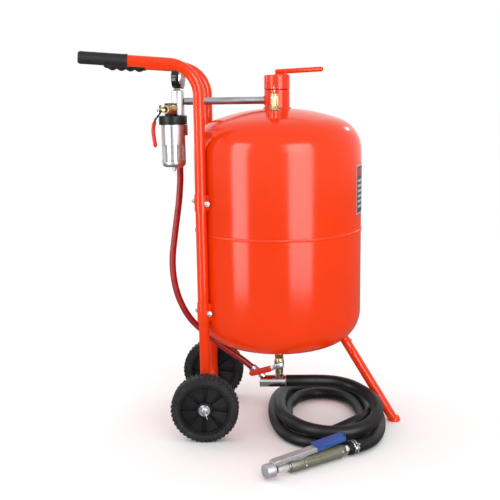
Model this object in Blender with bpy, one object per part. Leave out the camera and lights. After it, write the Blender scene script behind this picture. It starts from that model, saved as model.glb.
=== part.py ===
"""Portable abrasive blasting pot on a two-wheel frame.

A welded pressure vessel stands on two wheels and one front leg.  Air comes in through a ball valve and a
filter, goes to the top of the vessel through a cross pipe and down a red hose to the mixing tee.  The
metering valve under the vessel drops abrasive into the tee, and a coiled hose ends in a dead-man nozzle.

Metres, +Z up.  X runs from the handles (-X) to the front leg (+X).  Inside this file the places are
measured from the vessel's axis; the empty "pot_axis" carries everything to the frame's origin, which is
the centre of the bounding box on the floor.
"""
import math

import bmesh
import bpy
from mathutils import Matrix, Vector

X, Y, Z = Vector((1, 0, 0)), Vector((0, 1, 0)), Vector((0, 0, 1))
GAP = 0.0003                    # clearance between neighbouring solids

# Vessel
TANK_R = 0.200
TANK_WALL = 0.0032
HEAD_CROWN_R = 0.440            # dish radius of the domed heads
HEAD_KNUCKLE_R = 0.080
TANK_LOW_Z = 0.286              # where the lower head meets the cylinder
TANK_HIGH_Z = 0.6724            # where the upper head meets the cylinder
SEAM_Z = 0.486
TANK_SEGMENTS = 40

# Filler neck and cap
NECK_R = 0.03015
NECK_BORE_R = 0.0268
NECK_LOW_Z = 0.7655
NECK_TOP_Z = 0.8150
CAP_R = 0.0305
CAP_LOW_Z = 0.8170
CAP_TOP_Z = 0.8500
CAP_STUB_R = 0.0256
CAP_STUB_Z = 0.8080
CAP_BAR_R = 0.0058
CAP_BAR_X = (-0.004, 0.1095)
CAP_BAR_Z = (0.8570, 0.8622)

# Relief valve, on the dome in front of the neck
RELIEF_X, RELIEF_Y = -0.0060, -0.1250
RELIEF_BOSS_Z = (0.7350, 0.7695)
RELIEF_TOP_Z = 0.8085
RELIEF_RING_TOP_Z = 0.8215

# Air line at the handle side
PIPE_Z = 0.7915
PIPE_R = 0.0086
MANIFOLD_X = -0.2360
MANIFOLD_R = 0.0151
MANIFOLD_Z = (0.7597, 0.8172)
GAUGE_CENTRE = Vector((-0.2335, 0.0, 0.8450))
GAUGE_STEM_X = -0.2375
GAUGE_TURN = math.radians(-8)  # the dial looks along +X and a little towards -Y
GAUGE_R = 0.0235
GAUGE_DEPTH = 0.0250
FILTER_X, FILTER_Y = -0.2465, -0.0200
HEAD_SIZE = (0.0289, 0.0218, 0.0285)
HEAD_CENTRE = (-0.24895, -0.0266)
HEAD_LOW_Z = 0.7595
COLLAR_R = 0.0335
COLLAR_Z = (0.7380, 0.7590)
GUARD_R = 0.0280
GUARD_LOW_Z = 0.6385
DRAIN_LOW_Z = 0.6280
DROP_PIPE = Vector((-0.2385, 0.0290, 0.0))   # the chrome pipe down to the red hose
FERRULE_Z = (0.6330, 0.6580)

# Inlet ball valve
INLET_TURN = math.radians(30)   # flow axis, turned from -Y towards -X
INLET_ROOT = Vector((-0.2370, -0.0385, 0.7735))
INLET_TO_BALL = 0.0235

# Metering valve and mixing tee, under the vessel
METER_BALL_Z = 0.1425
METER_LEVER_DROP = math.radians(14)
TEE_R = 0.0150
TEE_CENTRE = Vector((-0.0165, 0.0, 0.0955))
TEE_LENGTH = 0.066

# Hoses
AIR_HOSE_R = 0.0080
BLAST_HOSE_R = 0.0148

# Trolley
TUBE_R = 0.0125
TUBE_WALL = 0.0018
TUBE_X = -0.1755
TUBE_Y_AXLE = 0.1150
TUBE_Y = 0.1215                 # where the tubes run along the vessel
TUBE_TOP_Z = 0.806              # start of the handle bend
TUBE_BEND_R = 0.070
HANDLE_RISE = math.radians(4.1)
HANDLE_END = Vector((-0.4320, 0.1460, 0.8905))
GRIP_START_X = -0.330
GRIP_R = 0.0142
CLAMP_Z = ((0.285, 0.329), (0.545, 0.583))
AXLE_X = -0.1760
AXLE_R = 0.0063
AXLE_HALF = 0.1735
WHEEL_R = 0.0800
WHEEL_HALF_WIDTH = 0.0180
WHEEL_Y = 0.1470
RIM_R = 0.0620
HUB_R = 0.0170
LEG_R = 0.0115
LEG_TOP = Vector((0.1500, 0.0, 0.2290))
FOOT_X = 0.2870
LEG_TURN = math.radians(-5)     # the leg stands a little towards the outlet side
FOOT_HALF = 0.0155

# Nozzle with its dead-man lever, lying on the floor
NOZZLE_END = Vector((0.0180, -0.3280, 0.0170))     # the body's end on the nozzle side
NOZZLE_BACK = Vector((0.8260, 0.5640, 0.0)).normalized()
NOZZLE_BODY_LENGTH = 0.1500
NOZZLE_BODY_R = 0.0145
LEVER_PIVOT_BACK = 0.0240
LEVER_PIVOT_UP = 0.0190

HANDLE_TIP_X = HANDLE_END.x - 0.0051
POT_X = -(HANDLE_TIP_X + FOOT_X * math.cos(LEG_TURN) + FOOT_HALF) / 2    # world X of the vessel's axis


# ---------------------------------------------------------------- helpers

def clear_scene():
    for obj in list(bpy.data.objects):
        bpy.data.objects.remove(obj, do_unlink=True)


def material(name, colour, roughness, metallic=0.0, alpha=1.0):
    mat = bpy.data.materials.new(name)
    mat.use_nodes = True
    shader = mat.node_tree.nodes["Principled BSDF"]
    shader.inputs["Base Color"].default_value = (*colour, 1.0)
    shader.inputs["Roughness"].default_value = roughness
    shader.inputs["Metallic"].default_value = metallic
    shader.inputs["Alpha"].default_value = alpha
    return mat


def along(axis, point=(0, 0, 0)):
    """Matrix that carries +Z to an axis and the origin to a point."""
    turn = Z.rotation_difference(Vector(axis)).to_matrix().to_4x4()
    return Matrix.Translation(point) @ turn


def add_object(name, bm, mat, origin=(0, 0, 0)):
    """Make an object from a mesh in vessel coordinates, with its own origin."""
    bmesh.ops.recalc_face_normals(bm, faces=bm.faces)
    if bm.calc_volume(signed=True) < 0:
        bmesh.ops.reverse_faces(bm, faces=bm.faces)
    bm.transform(Matrix.Translation(-Vector(origin)))
    mesh = bpy.data.meshes.new(name)
    bm.to_mesh(mesh)
    bm.free()
    mesh.shade_smooth()
    mesh.set_sharp_from_angle(angle=math.radians(35))
    mesh.materials.append(mat)
    obj = bpy.data.objects.new(name, mesh)
    bpy.context.scene.collection.objects.link(obj)
    obj.location = origin
    obj.parent = bpy.data.objects["pot_axis"]
    return obj


def turned(profile, segments, matrix=Matrix()):
    """Turn (radius, height) points about Z; a profile that doesn't end on the axis is a closed ring."""
    bm = bmesh.new()
    verts = [bm.verts.new((radius, 0, height)) for radius, height in profile]
    edges = [bm.edges.new(pair) for pair in zip(verts, verts[1:])]
    if profile[0][0] > 0:
        edges.append(bm.edges.new((verts[-1], verts[0])))
    bmesh.ops.spin(bm, geom=verts + edges, cent=(0, 0, 0), axis=(0, 0, 1), angle=math.tau,
                   steps=segments, use_merge=True)
    bmesh.ops.remove_doubles(bm, verts=bm.verts, dist=1e-6)
    bm.transform(matrix)
    return bm


def rod_profile(radius, low, high, chamfer=0.0):
    if not chamfer:
        return [(0, low), (radius, low), (radius, high), (0, high)]
    return [(0, low), (radius - chamfer, low), (radius, low + chamfer), (radius, high - chamfer),
            (radius - chamfer, high), (0, high)]


def ring_profile(inner, outer, low, high):
    return [(inner, low), (outer, low), (outer, high), (inner, high)]


def block(size, matrix=Matrix(), bevel=0.0):
    bm = bmesh.new()
    bmesh.ops.create_cube(bm, size=1.0)
    bm.transform(Matrix.Diagonal((*size, 1.0)))
    if bevel:
        bmesh.ops.bevel(bm, geom=list(bm.edges), offset=bevel, segments=1, affect='EDGES')
    bm.transform(matrix)
    return bm


def prism(outline, thickness, matrix=Matrix()):
    """Extrude a closed XY outline by a thickness, centred on Z = 0."""
    bm = bmesh.new()
    face = bm.faces.new([bm.verts.new((x, y, -thickness / 2)) for x, y in outline])
    extruded = bmesh.ops.extrude_face_region(bm, geom=[face])
    moved = [item for item in extruded["geom"] if isinstance(item, bmesh.types.BMVert)]
    bmesh.ops.translate(bm, vec=(0, 0, thickness), verts=moved)
    bm.transform(matrix)
    return bm


def bridge(bm, ring_a, ring_b):
    for i in range(len(ring_a)):
        j = (i + 1) % len(ring_a)
        bm.faces.new((ring_a[i], ring_a[j], ring_b[j], ring_b[i]))


def path_frames(points):
    """Tangent and a carried-along normal at each point of a path."""
    frames, normal = [], None
    for i, point in enumerate(points):
        tangent = (points[min(i + 1, len(points) - 1)] - points[max(i - 1, 0)]).normalized()
        if normal is None:
            normal = tangent.orthogonal().normalized()
        normal = (normal - tangent * normal.dot(tangent)).normalized()
        frames.append((point, tangent, normal))
    return frames


def swept(points, outer, sides, inner=0.0):
    """Round bar, or with an inner radius an open tube, along a path."""
    bm = bmesh.new()
    layers = []
    for radius in filter(None, (outer, inner)):
        rings = []
        for point, tangent, normal in path_frames([Vector(p) for p in points]):
            side = tangent.cross(normal)
            angles = [math.tau * k / sides for k in range(sides)]
            rings.append([bm.verts.new(point + (normal * math.cos(a) + side * math.sin(a)) * radius)
                          for a in angles])
        for ring_a, ring_b in zip(rings, rings[1:]):
            bridge(bm, ring_a, ring_b)
        layers.append(rings)
    for end in (0, -1):
        if inner:
            bridge(bm, layers[0][end], layers[1][end])
        else:
            bm.faces.new(layers[0][end])
    return bm


def strap(points, side, width, thickness):
    """Flat bar of one width along a path that stays in the plane across `side`."""
    bm = bmesh.new()
    points = [Vector(p) for p in points]
    rings = []
    for i, point in enumerate(points):
        before = (point - points[i - 1]).normalized() if i else None
        after = (points[i + 1] - point).normalized() if i + 1 < len(points) else None
        tangent = ((before or after) + (after or before)).normalized()
        normal = side.cross(tangent)
        mitre = 1 / max(0.5, tangent.dot(after or before))
        offset = normal * (thickness / 2 * mitre)
        half = side * (width / 2)
        rings.append([bm.verts.new(point + s * half + n * offset)
                      for s, n in ((1, 1), (-1, 1), (-1, -1), (1, -1))])
    for ring_a, ring_b in zip(rings, rings[1:]):
        bridge(bm, ring_a, ring_b)
    bm.faces.new(rings[0])
    bm.faces.new(rings[-1])
    return bm


def boolean(obj, bm, operation, name):
    """Cut a shape from an object, or join one to it, with a live modifier."""
    guide = add_object(name, bm, obj.data.materials[0])
    guide.hide_render = True
    guide.display_type = 'WIRE'
    modifier = obj.modifiers.new(name, 'BOOLEAN')
    modifier.operation = operation
    modifier.solver = 'EXACT'
    modifier.object = guide
    return guide


def share_cutter(obj, guide):
    modifier = obj.modifiers.new(guide.name, 'BOOLEAN')
    modifier.operation = 'DIFFERENCE'
    modifier.solver = 'EXACT'
    modifier.object = guide


def smooth_path(points, spacing):
    """Even points along a Catmull-Rom curve through hand-chosen points."""
    points = [Vector(p) for p in points]
    padded = [2 * points[0] - points[1]] + points + [2 * points[-1] - points[-2]]
    dense = []
    for i in range(1, len(padded) - 2):
        p0, p1, p2, p3 = padded[i - 1:i + 3]
        for k in range(24):
            t = k / 24
            dense.append(0.5 * (2 * p1 + (p2 - p0) * t + (2 * p0 - 5 * p1 + 4 * p2 - p3) * t ** 2
                                + (3 * p1 - p0 - 3 * p2 + p3) * t ** 3))
    dense.append(points[-1])
    lengths = [0.0]
    for a, b in zip(dense, dense[1:]):
        lengths.append(lengths[-1] + (b - a).length)
    count = max(2, round(lengths[-1] / spacing))
    even, index = [], 0
    for k in range(count + 1):
        target = lengths[-1] * k / count
        while index < len(dense) - 2 and lengths[index + 1] < target:
            index += 1
        span = lengths[index + 1] - lengths[index]
        even.append(dense[index].lerp(dense[index + 1], (target - lengths[index]) / span))
    return even


def hose(name, route, radius, spacing, resolution, mat):
    curve = bpy.data.curves.new(name, 'CURVE')
    curve.dimensions = '3D'
    curve.bevel_depth = radius
    curve.bevel_resolution = resolution
    curve.render_resolution_u = 0
    curve.use_fill_caps = True
    points = smooth_path(route, spacing)
    spline = curve.splines.new('POLY')
    spline.points.add(len(points) - 1)
    for spot, point in zip(spline.points, points):
        spot.co = (*point, 1.0)
    curve.materials.append(mat)
    obj = bpy.data.objects.new(name, curve)
    bpy.context.scene.collection.objects.link(obj)
    obj.parent = bpy.data.objects["pot_axis"]
    return obj


# ---------------------------------------------------------------- vessel

def head_profile(offset, hole_r, steps):
    """Domed head from the cylinder to a hole at the crown, as (radius, height over the tangent line)."""
    crown, knuckle = HEAD_CROWN_R + offset, HEAD_KNUCKLE_R + offset
    centre_r = TANK_R - HEAD_KNUCKLE_R
    drop = math.sqrt((HEAD_CROWN_R - HEAD_KNUCKLE_R) ** 2 - centre_r ** 2)
    meet = math.atan2(centre_r, drop)                   # from the axis, where crown and knuckle meet
    points = []
    for k in range(steps + 1):
        angle = (math.pi / 2 - meet) * k / steps
        points.append((centre_r + knuckle * math.cos(angle), knuckle * math.sin(angle)))
    last = math.asin(hole_r / crown)
    for k in range(1, steps + 1):
        angle = meet + (last - meet) * k / steps
        points.append((crown * math.sin(angle), crown * math.cos(angle) - drop))
    return points


def make_shells(paint):
    inner = -TANK_WALL
    outside = [(r, TANK_HIGH_Z + h) for r, h in head_profile(0, NECK_R + GAP, 5)]
    inside = [(r, TANK_HIGH_Z + h) for r, h in head_profile(inner, NECK_R + GAP, 3)]
    profile = [(TANK_R, SEAM_Z + GAP)] + outside + inside[::-1] + [(TANK_R + inner, SEAM_Z + GAP)]
    add_object("upper_shell", turned(profile, TANK_SEGMENTS), paint)
    outlet = 0.0108
    outside = [(r, TANK_LOW_Z - h) for r, h in head_profile(0, outlet, 5)]
    inside = [(r, TANK_LOW_Z - h) for r, h in head_profile(inner, outlet, 3)]
    profile = [(TANK_R, SEAM_Z)] + outside + inside[::-1] + [(TANK_R + inner, SEAM_Z)]
    add_object("lower_shell", turned(profile, TANK_SEGMENTS), paint)


def tank_guide():
    """The vessel's outside plus a gap, closed, to trim what is welded on it."""
    top = [(r, TANK_HIGH_Z + h) for r, h in head_profile(GAP, 0.0, 5)]
    bottom = [(r, TANK_LOW_Z - h) for r, h in head_profile(GAP, 0.0, 5)]
    top[-1], bottom[-1] = (0, top[-1][1]), (0, bottom[-1][1])
    return turned(bottom[::-1] + top, TANK_SEGMENTS)


def make_filler(paint, rubber):
    add_object("filler_neck", turned(ring_profile(NECK_BORE_R, NECK_R, NECK_LOW_Z, NECK_TOP_Z), 24), paint)
    gasket = ring_profile(CAP_STUB_R + GAP, 0.0292, NECK_TOP_Z + GAP, CAP_LOW_Z - GAP)
    add_object("cap_gasket", turned(gasket, 24), rubber)
    cap = [(0, CAP_STUB_Z), (CAP_STUB_R, CAP_STUB_Z), (CAP_STUB_R, CAP_LOW_Z), (CAP_R - 0.001, CAP_LOW_Z),
           (CAP_R, CAP_LOW_Z + 0.001), (CAP_R, CAP_TOP_Z - 0.0015), (CAP_R - 0.0015, CAP_TOP_Z), (0, CAP_TOP_Z)]
    add_object("filler_cap", turned(cap, 24), paint)
    start = Vector((CAP_BAR_X[0], 0, CAP_BAR_Z[0]))
    end = Vector((CAP_BAR_X[1], 0, CAP_BAR_Z[1]))
    length = (end - start).length
    bar = add_object("cap_handle", turned(rod_profile(CAP_BAR_R, 0, length, 0.002), 12,
                                          along((end - start).normalized(), start)), paint)
    weld_height = CAP_BAR_Z[0] - CAP_TOP_Z - GAP
    weld = block((0.028, 0.009, weld_height),
                 Matrix.Translation((0.0105, 0, CAP_TOP_Z + GAP + weld_height / 2)))
    boolean(bar, weld, 'UNION', "cap_handle_weld")


def make_relief_valve(paint, brass, guide):
    spot = Matrix.Translation((RELIEF_X, RELIEF_Y, 0))
    low, high = RELIEF_BOSS_Z
    share_cutter(add_object("relief_boss", turned(rod_profile(0.0120, low, high, 0.001), 16, spot), paint), guide)
    base = high + GAP
    body = [(0, base), (0.0109, base), (0.0109, base + 0.011), (0.0088, base + 0.012), (0.0088, RELIEF_TOP_Z - 0.005),
            (0.0066, RELIEF_TOP_Z), (0, RELIEF_TOP_Z)]
    add_object("relief_valve", turned(body, 12, spot), brass)
    ring_r, wire_r = 0.0036, 0.0009
    centre = Vector((RELIEF_X, RELIEF_Y, RELIEF_RING_TOP_Z - ring_r - wire_r))
    wire = [(ring_r + wire_r * math.cos(a), wire_r * math.sin(a)) for a in (k * math.tau / 6 for k in range(6))]
    stem_low = RELIEF_TOP_Z + GAP
    pull = add_object("relief_pull", turned(wire, 12, along(Y, centre)), brass, (RELIEF_X, RELIEF_Y, stem_low))
    stem = turned(rod_profile(0.0016, stem_low, centre.z - ring_r), 8, spot)
    boolean(pull, stem, 'UNION', "relief_pull_stem")


# ---------------------------------------------------------------- air line

def make_gauge(black, chrome, white, glass, brass):
    face = Vector((math.cos(GAUGE_TURN), math.sin(GAUGE_TURN), 0))
    spot = along(face, GAUGE_CENTRE)
    half = GAUGE_DEPTH / 2
    rim = 0.0205
    case = [(0, -half), (GAUGE_R - 0.002, -half), (GAUGE_R, -half + 0.002), (GAUGE_R, half - 0.0053),
            (rim, half - 0.0053), (rim, -half + 0.012), (0, -half + 0.012)]
    add_object("gauge_case", turned(case, 24, spot), black)
    dial_back = -half + 0.012 + GAP
    dial_face = dial_back + 0.0012
    add_object("gauge_dial", turned(rod_profile(rim - GAP, dial_back, dial_face), 20, spot), white)
    bezel = [(0.0190, half - 0.0050), (GAUGE_R + 0.0010, half - 0.0050), (GAUGE_R + 0.0010, half - 0.0010),
             (GAUGE_R - 0.001, half), (0.0195, half), (0.0190, half - 0.0015)]
    add_object("gauge_bezel", turned(bezel, 24, spot), chrome)
    lens = rod_profile(0.0190 - GAP, half - 0.0040, half - 0.0020)
    add_object("gauge_lens", turned(lens, 20, spot), glass)
    # The needle points down and to the side at rest, at the dial's zero.
    outline = [(-0.0012, -0.004), (0.0012, -0.004), (0.0003, 0.0145), (-0.0003, 0.0145)]
    turn = Matrix.Rotation(math.radians(45), 4, 'Z')
    lift = Matrix.Translation((0, 0, dial_face + GAP + 0.0006))
    pivot = spot @ Vector((0, 0, dial_face))
    add_object("gauge_needle", prism(outline, 0.0008, spot @ lift @ turn), black, pivot)
    low, top = MANIFOLD_Z[1] + GAP, GAUGE_CENTRE.z - GAUGE_R - 0.0016
    stem = [(0, low), (0.0092, low), (0.0092, top), (0.0062, top), (0.0062, top + 0.0010), (0, top + 0.0010)]
    add_object("gauge_stem", turned(stem, 6, Matrix.Translation((GAUGE_STEM_X, 0, 0))), brass)


def make_air_line(zinc, chrome):
    pipe = turned(ring_profile(0.0060, PIPE_R, 0, -(NECK_R + GAP) - MANIFOLD_X - MANIFOLD_R - 2 * GAP), 12,
                  along(X, (MANIFOLD_X + MANIFOLD_R + GAP, 0, PIPE_Z)))
    add_object("cross_pipe", pipe, zinc)
    body = turned(rod_profile(MANIFOLD_R, *MANIFOLD_Z, 0.0018), 20, Matrix.Translation((MANIFOLD_X, 0, 0)))
    add_object("air_manifold", body, chrome)
    base = Vector((MANIFOLD_X, 0, 0.8010))
    out = Vector((DROP_PIPE.x - MANIFOLD_X, DROP_PIPE.y, 0))
    reach, out = out.length, out.normalized()
    bend = [base + out * (MANIFOLD_R + 2 * GAP), base + out * (reach - 0.0060),
            base + out * (reach - 0.0015) - Z * 0.0030, base + out * reach - Z * 0.0100]
    down = Vector((DROP_PIPE.x, DROP_PIPE.y, FERRULE_Z[1] + GAP))
    add_object("drop_pipe", swept(bend + [down], 0.0062, 10, 0.0042), chrome)
    low, high = FERRULE_Z
    ferrule = [(0.0042, high), (0.0042, low + GAP), (0.0096, low + GAP), (0.0096, high)]
    add_object("hose_ferrule", turned(ferrule, 12, Matrix.Translation(DROP_PIPE)), zinc)


def make_filter(black, silver, clear, white, red, brass):
    spot = Matrix.Translation((FILTER_X, FILTER_Y, 0))
    centre = Vector((*HEAD_CENTRE, HEAD_LOW_Z + HEAD_SIZE[2] / 2))
    add_object("filter_head", block(HEAD_SIZE, Matrix.Translation(centre), 0.0015), black)
    low, high = COLLAR_Z
    collar = [(0, high), (COLLAR_R - 0.001, high), (COLLAR_R, high - 0.001), (COLLAR_R, low),
              (GUARD_R + 2 * GAP, low), (GUARD_R + 2 * GAP, high - 0.006), (0, high - 0.006)]
    add_object("filter_collar", turned(collar, 24, spot), black)
    top = high - 0.006 - GAP
    wall, hole = 0.0012, 0.0046
    inner = GUARD_R - wall
    guard = [(GUARD_R, top), (GUARD_R, GUARD_LOW_Z + 0.010), (GUARD_R - 0.003, GUARD_LOW_Z + 0.003),
             (GUARD_R - 0.009, GUARD_LOW_Z), (hole, GUARD_LOW_Z), (hole, GUARD_LOW_Z + wall),
             (inner - 0.009, GUARD_LOW_Z + wall), (inner - 0.003, GUARD_LOW_Z + 0.004),
             (inner, GUARD_LOW_Z + 0.011), (inner, top)]
    add_object("bowl_guard", turned(guard, 24, spot), silver, (FILTER_X, FILTER_Y, top))
    outer = inner - 0.0006
    floor = GUARD_LOW_Z + wall + 0.0010
    bowl = [(outer, top - 0.001), (outer, floor + 0.0125), (outer - 0.008, floor + 0.001), (hole, floor + 0.001),
            (hole, floor + 0.003), (outer - 0.010, floor + 0.003), (outer - 0.002, floor + 0.0135),
            (outer - 0.002, top - 0.001)]
    add_object("filter_bowl", turned(bowl, 20, spot), clear, (FILTER_X, FILTER_Y, top))
    element = ring_profile(0.0080, 0.0130, 0.6760, top - 0.0005)
    add_object("filter_element", turned(element, 16, spot), white)
    latch_z = (0.7120, 0.7370)
    size = (0.0058, 0.0110, latch_z[1] - latch_z[0])
    place = Vector((FILTER_X + GUARD_R + GAP + size[0] / 2, FILTER_Y, sum(latch_z) / 2))
    add_object("latch_button", block(size, Matrix.Translation(place), 0.0012), red, place)
    drain = [(0, floor + 0.008), (0.0040, floor + 0.008), (0.0040, GUARD_LOW_Z - GAP), (0.0060, GUARD_LOW_Z - GAP),
             (0.0060, DRAIN_LOW_Z + 0.004), (0.0030, DRAIN_LOW_Z), (0, DRAIN_LOW_Z)]
    add_object("drain_cock", turned(drain, 12, spot), brass, (FILTER_X, FILTER_Y, DRAIN_LOW_Z))


# ---------------------------------------------------------------- ball valves

def make_ball_valve(name, frame, outside, bore, stem, lever, colours):
    """Ball valve about its ball's centre: flow along local Z, stem along local X.

    outside is the body's (radius, height) outline, bottom to top; stem gives its boss end, nut end and
    radius; lever gives its path in the local plane of the stem and its swing, and where the grip starts.
    """
    brass, steel, grip_colour = colours
    origin = frame.translation
    ball_r, stem_r = bore * 1.35, stem["radius"]
    seat = math.sqrt((ball_r + GAP) ** 2 - bore ** 2)
    cavity = [(bore, outside[-1][1]), (bore, seat), (ball_r + GAP, seat * 0.55), (ball_r + GAP, -seat * 0.55),
              (bore, -seat), (bore, outside[0][1])]
    body = add_object(name + "_body", turned(outside + cavity, 16, frame), brass)
    to_stem = frame @ along(X)
    boss = turned(ring_profile(stem_r + GAP, stem_r + 0.0032, ball_r + 0.0025, stem["boss"]), 12, to_stem)
    boolean(body, boss, 'UNION', name + "_boss")
    hole = turned(rod_profile(stem_r + GAP, ball_r * 0.5, stem["boss"] + 0.002), 12, to_stem)
    boolean(body, hole, 'DIFFERENCE', name + "_stem_hole")
    swing = lever["swing"].normalized()
    bore_r = bore * 0.80
    edge = math.sqrt(ball_r ** 2 - bore_r ** 2)
    arc = [(math.sqrt(ball_r ** 2 - h ** 2), h) for h in (-edge * 0.6, 0, edge * 0.6)]
    ring = [(bore_r, -edge)] + arc + [(bore_r, edge)]
    add_object(name + "_ball", turned(ring, 14, frame @ along(swing)), steel, origin)
    path = [frame @ (X * out + swing * away) for out, away in lever["path"]]
    across = (frame.to_3x3() @ X.cross(swing)).normalized()
    bar = add_object(name + "_lever", strap(path, across, lever["width"], 0.0024), steel, origin)
    spindle = turned(rod_profile(stem_r, ball_r + GAP, stem["nut"]), 12, to_stem)
    boolean(bar, spindle, 'UNION', name + "_spindle")
    nut = turned(rod_profile(stem_r + 0.0024, lever["path"][0][0] + 0.0005, stem["nut"] - 0.001), 6, to_stem)
    boolean(bar, nut, 'UNION', name + "_nut")
    start = lever["grip"]
    first = (path[start + 1] - path[start]).normalized()
    covered = [path[start] + first * 0.004] + path[start + 1:]
    last = (covered[-1] - covered[-2]).normalized()
    shell = [covered[0]] + covered[1:-1] + [covered[-1] + last * 0.003]
    grip = add_object(name + "_grip", strap(shell, across, lever["width"] + 0.0040, 0.0075), grip_colour, origin)
    slot = [covered[0] - first * 0.004] + covered[1:-1] + [covered[-1] + last * GAP]
    boolean(grip, strap(slot, across, lever["width"] + 2 * GAP, 0.0024 + 2 * GAP), 'DIFFERENCE', name + "_slot")


def make_inlet_valve(colours):
    flow = Vector((-math.sin(INLET_TURN), -math.cos(INLET_TURN), 0))
    stem_axis = Vector((-math.cos(INLET_TURN), math.sin(INLET_TURN), 0))
    frame = Matrix((stem_axis, flow.cross(stem_axis), flow)).transposed().to_4x4()
    frame.translation = INLET_ROOT + flow * INLET_TO_BALL
    outside = [(0.0072, -0.0195), (0.0072, -0.0155), (0.0125, -0.0150), (0.0125, -0.0040), (0.0108, -0.0030),
               (0.0108, 0.0060), (0.0095, 0.0070), (0.0095, 0.0165)]
    lever = {"swing": Y, "width": 0.0100, "grip": 3,
             "path": [(0.0290, -0.0105), (0.0290, 0.0065), (0.0350, 0.0130), (0.0450, 0.0235),
                      (0.0500, 0.0500), (0.0450, 0.0850)]}
    make_ball_valve("inlet_valve", frame, outside, 0.0062, {"boss": 0.0235, "nut": 0.0345, "radius": 0.0034},
                    lever, colours)


def make_meter_valve(colours):
    frame = Matrix((-Y, X, Z)).transposed().to_4x4()
    frame.translation = Vector((0, 0, METER_BALL_Z))
    low = TEE_CENTRE.z + TEE_R + 0.0045 - METER_BALL_Z
    outside = [(0.0090, low), (0.0090, -0.0130), (0.0118, -0.0115), (0.0118, 0.0120), (0.0105, 0.0135),
               (0.0105, 0.0480)]
    swing = Vector((0, -math.cos(METER_LEVER_DROP), -math.sin(METER_LEVER_DROP)))
    lever = {"swing": swing, "width": 0.0120, "grip": 2,
             "path": [(0.0215, -0.0090), (0.0215, 0.0100), (0.0290, 0.0170), (0.0300, 0.0450), (0.0300, 0.0740)]}
    make_ball_valve("meter_valve", frame, outside, 0.0060, {"boss": 0.0185, "nut": 0.0280, "radius": 0.0034},
                    lever, colours)


# ---------------------------------------------------------------- tee and hoses

def make_tee(chrome):
    half = TEE_LENGTH / 2
    tee = add_object("mixing_tee", turned(ring_profile(0.0070, TEE_R, -half, half), 20,
                                          along(X, TEE_CENTRE)), chrome)
    top = TEE_CENTRE.z + TEE_R + 0.0045 - GAP
    boss = turned(rod_profile(0.0112, TEE_CENTRE.z + 0.010, top), 12)
    boolean(tee, boss, 'UNION', "tee_boss")
    hole = turned(rod_profile(0.0060, TEE_CENTRE.z, top + 0.005), 12)
    boolean(tee, hole, 'DIFFERENCE', "tee_hole")
    socket = turned(rod_profile(0.0080, 0, 0.0100), 12, along(AIR_HOSE_DROP, BARB_END))
    boolean(tee, socket, 'UNION', "tee_socket")


AIR_HOSE_END = Vector((-0.0690, 0.0, 0.1320))
AIR_HOSE_DROP = Vector((math.cos(math.radians(40)), 0, -math.sin(math.radians(40))))
BARB_END = AIR_HOSE_END + AIR_HOSE_DROP * 0.0286


def make_air_hose(red, zinc, brass):
    route = [(DROP_PIPE.x, DROP_PIPE.y, FERRULE_Z[0] - GAP), (-0.2387, 0.0289, 0.6020), (-0.2430, 0.0270, 0.5530),
             (-0.2500, 0.0240, 0.5030), (-0.2570, 0.0200, 0.4540), (-0.2620, 0.0150, 0.4050),
             (-0.2590, 0.0100, 0.3550), (-0.2460, 0.0060, 0.3050), (-0.2180, 0.0020, 0.2550),
             (-0.1680, 0.0000, 0.2080), (-0.1310, 0.0000, 0.1790), (-0.0960, 0.0000, 0.1546), AIR_HOSE_END]
    hose("air_hose", route, AIR_HOSE_R, 0.030, 2, red)
    clamp = turned(ring_profile(0.0052, 0.0108, GAP, 0.0170), 12, along(AIR_HOSE_DROP, AIR_HOSE_END))
    add_object("air_hose_clamp", clamp, zinc)
    barb = [(0, 0.0030), (0.0044, 0.0030), (0.0048, 0.0190), (0.0070, 0.0195), (0.0070, 0.0286 - GAP),
            (0, 0.0286 - GAP)]
    add_object("hose_barb", turned(barb, 12, along(AIR_HOSE_DROP, AIR_HOSE_END)), brass)


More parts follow.
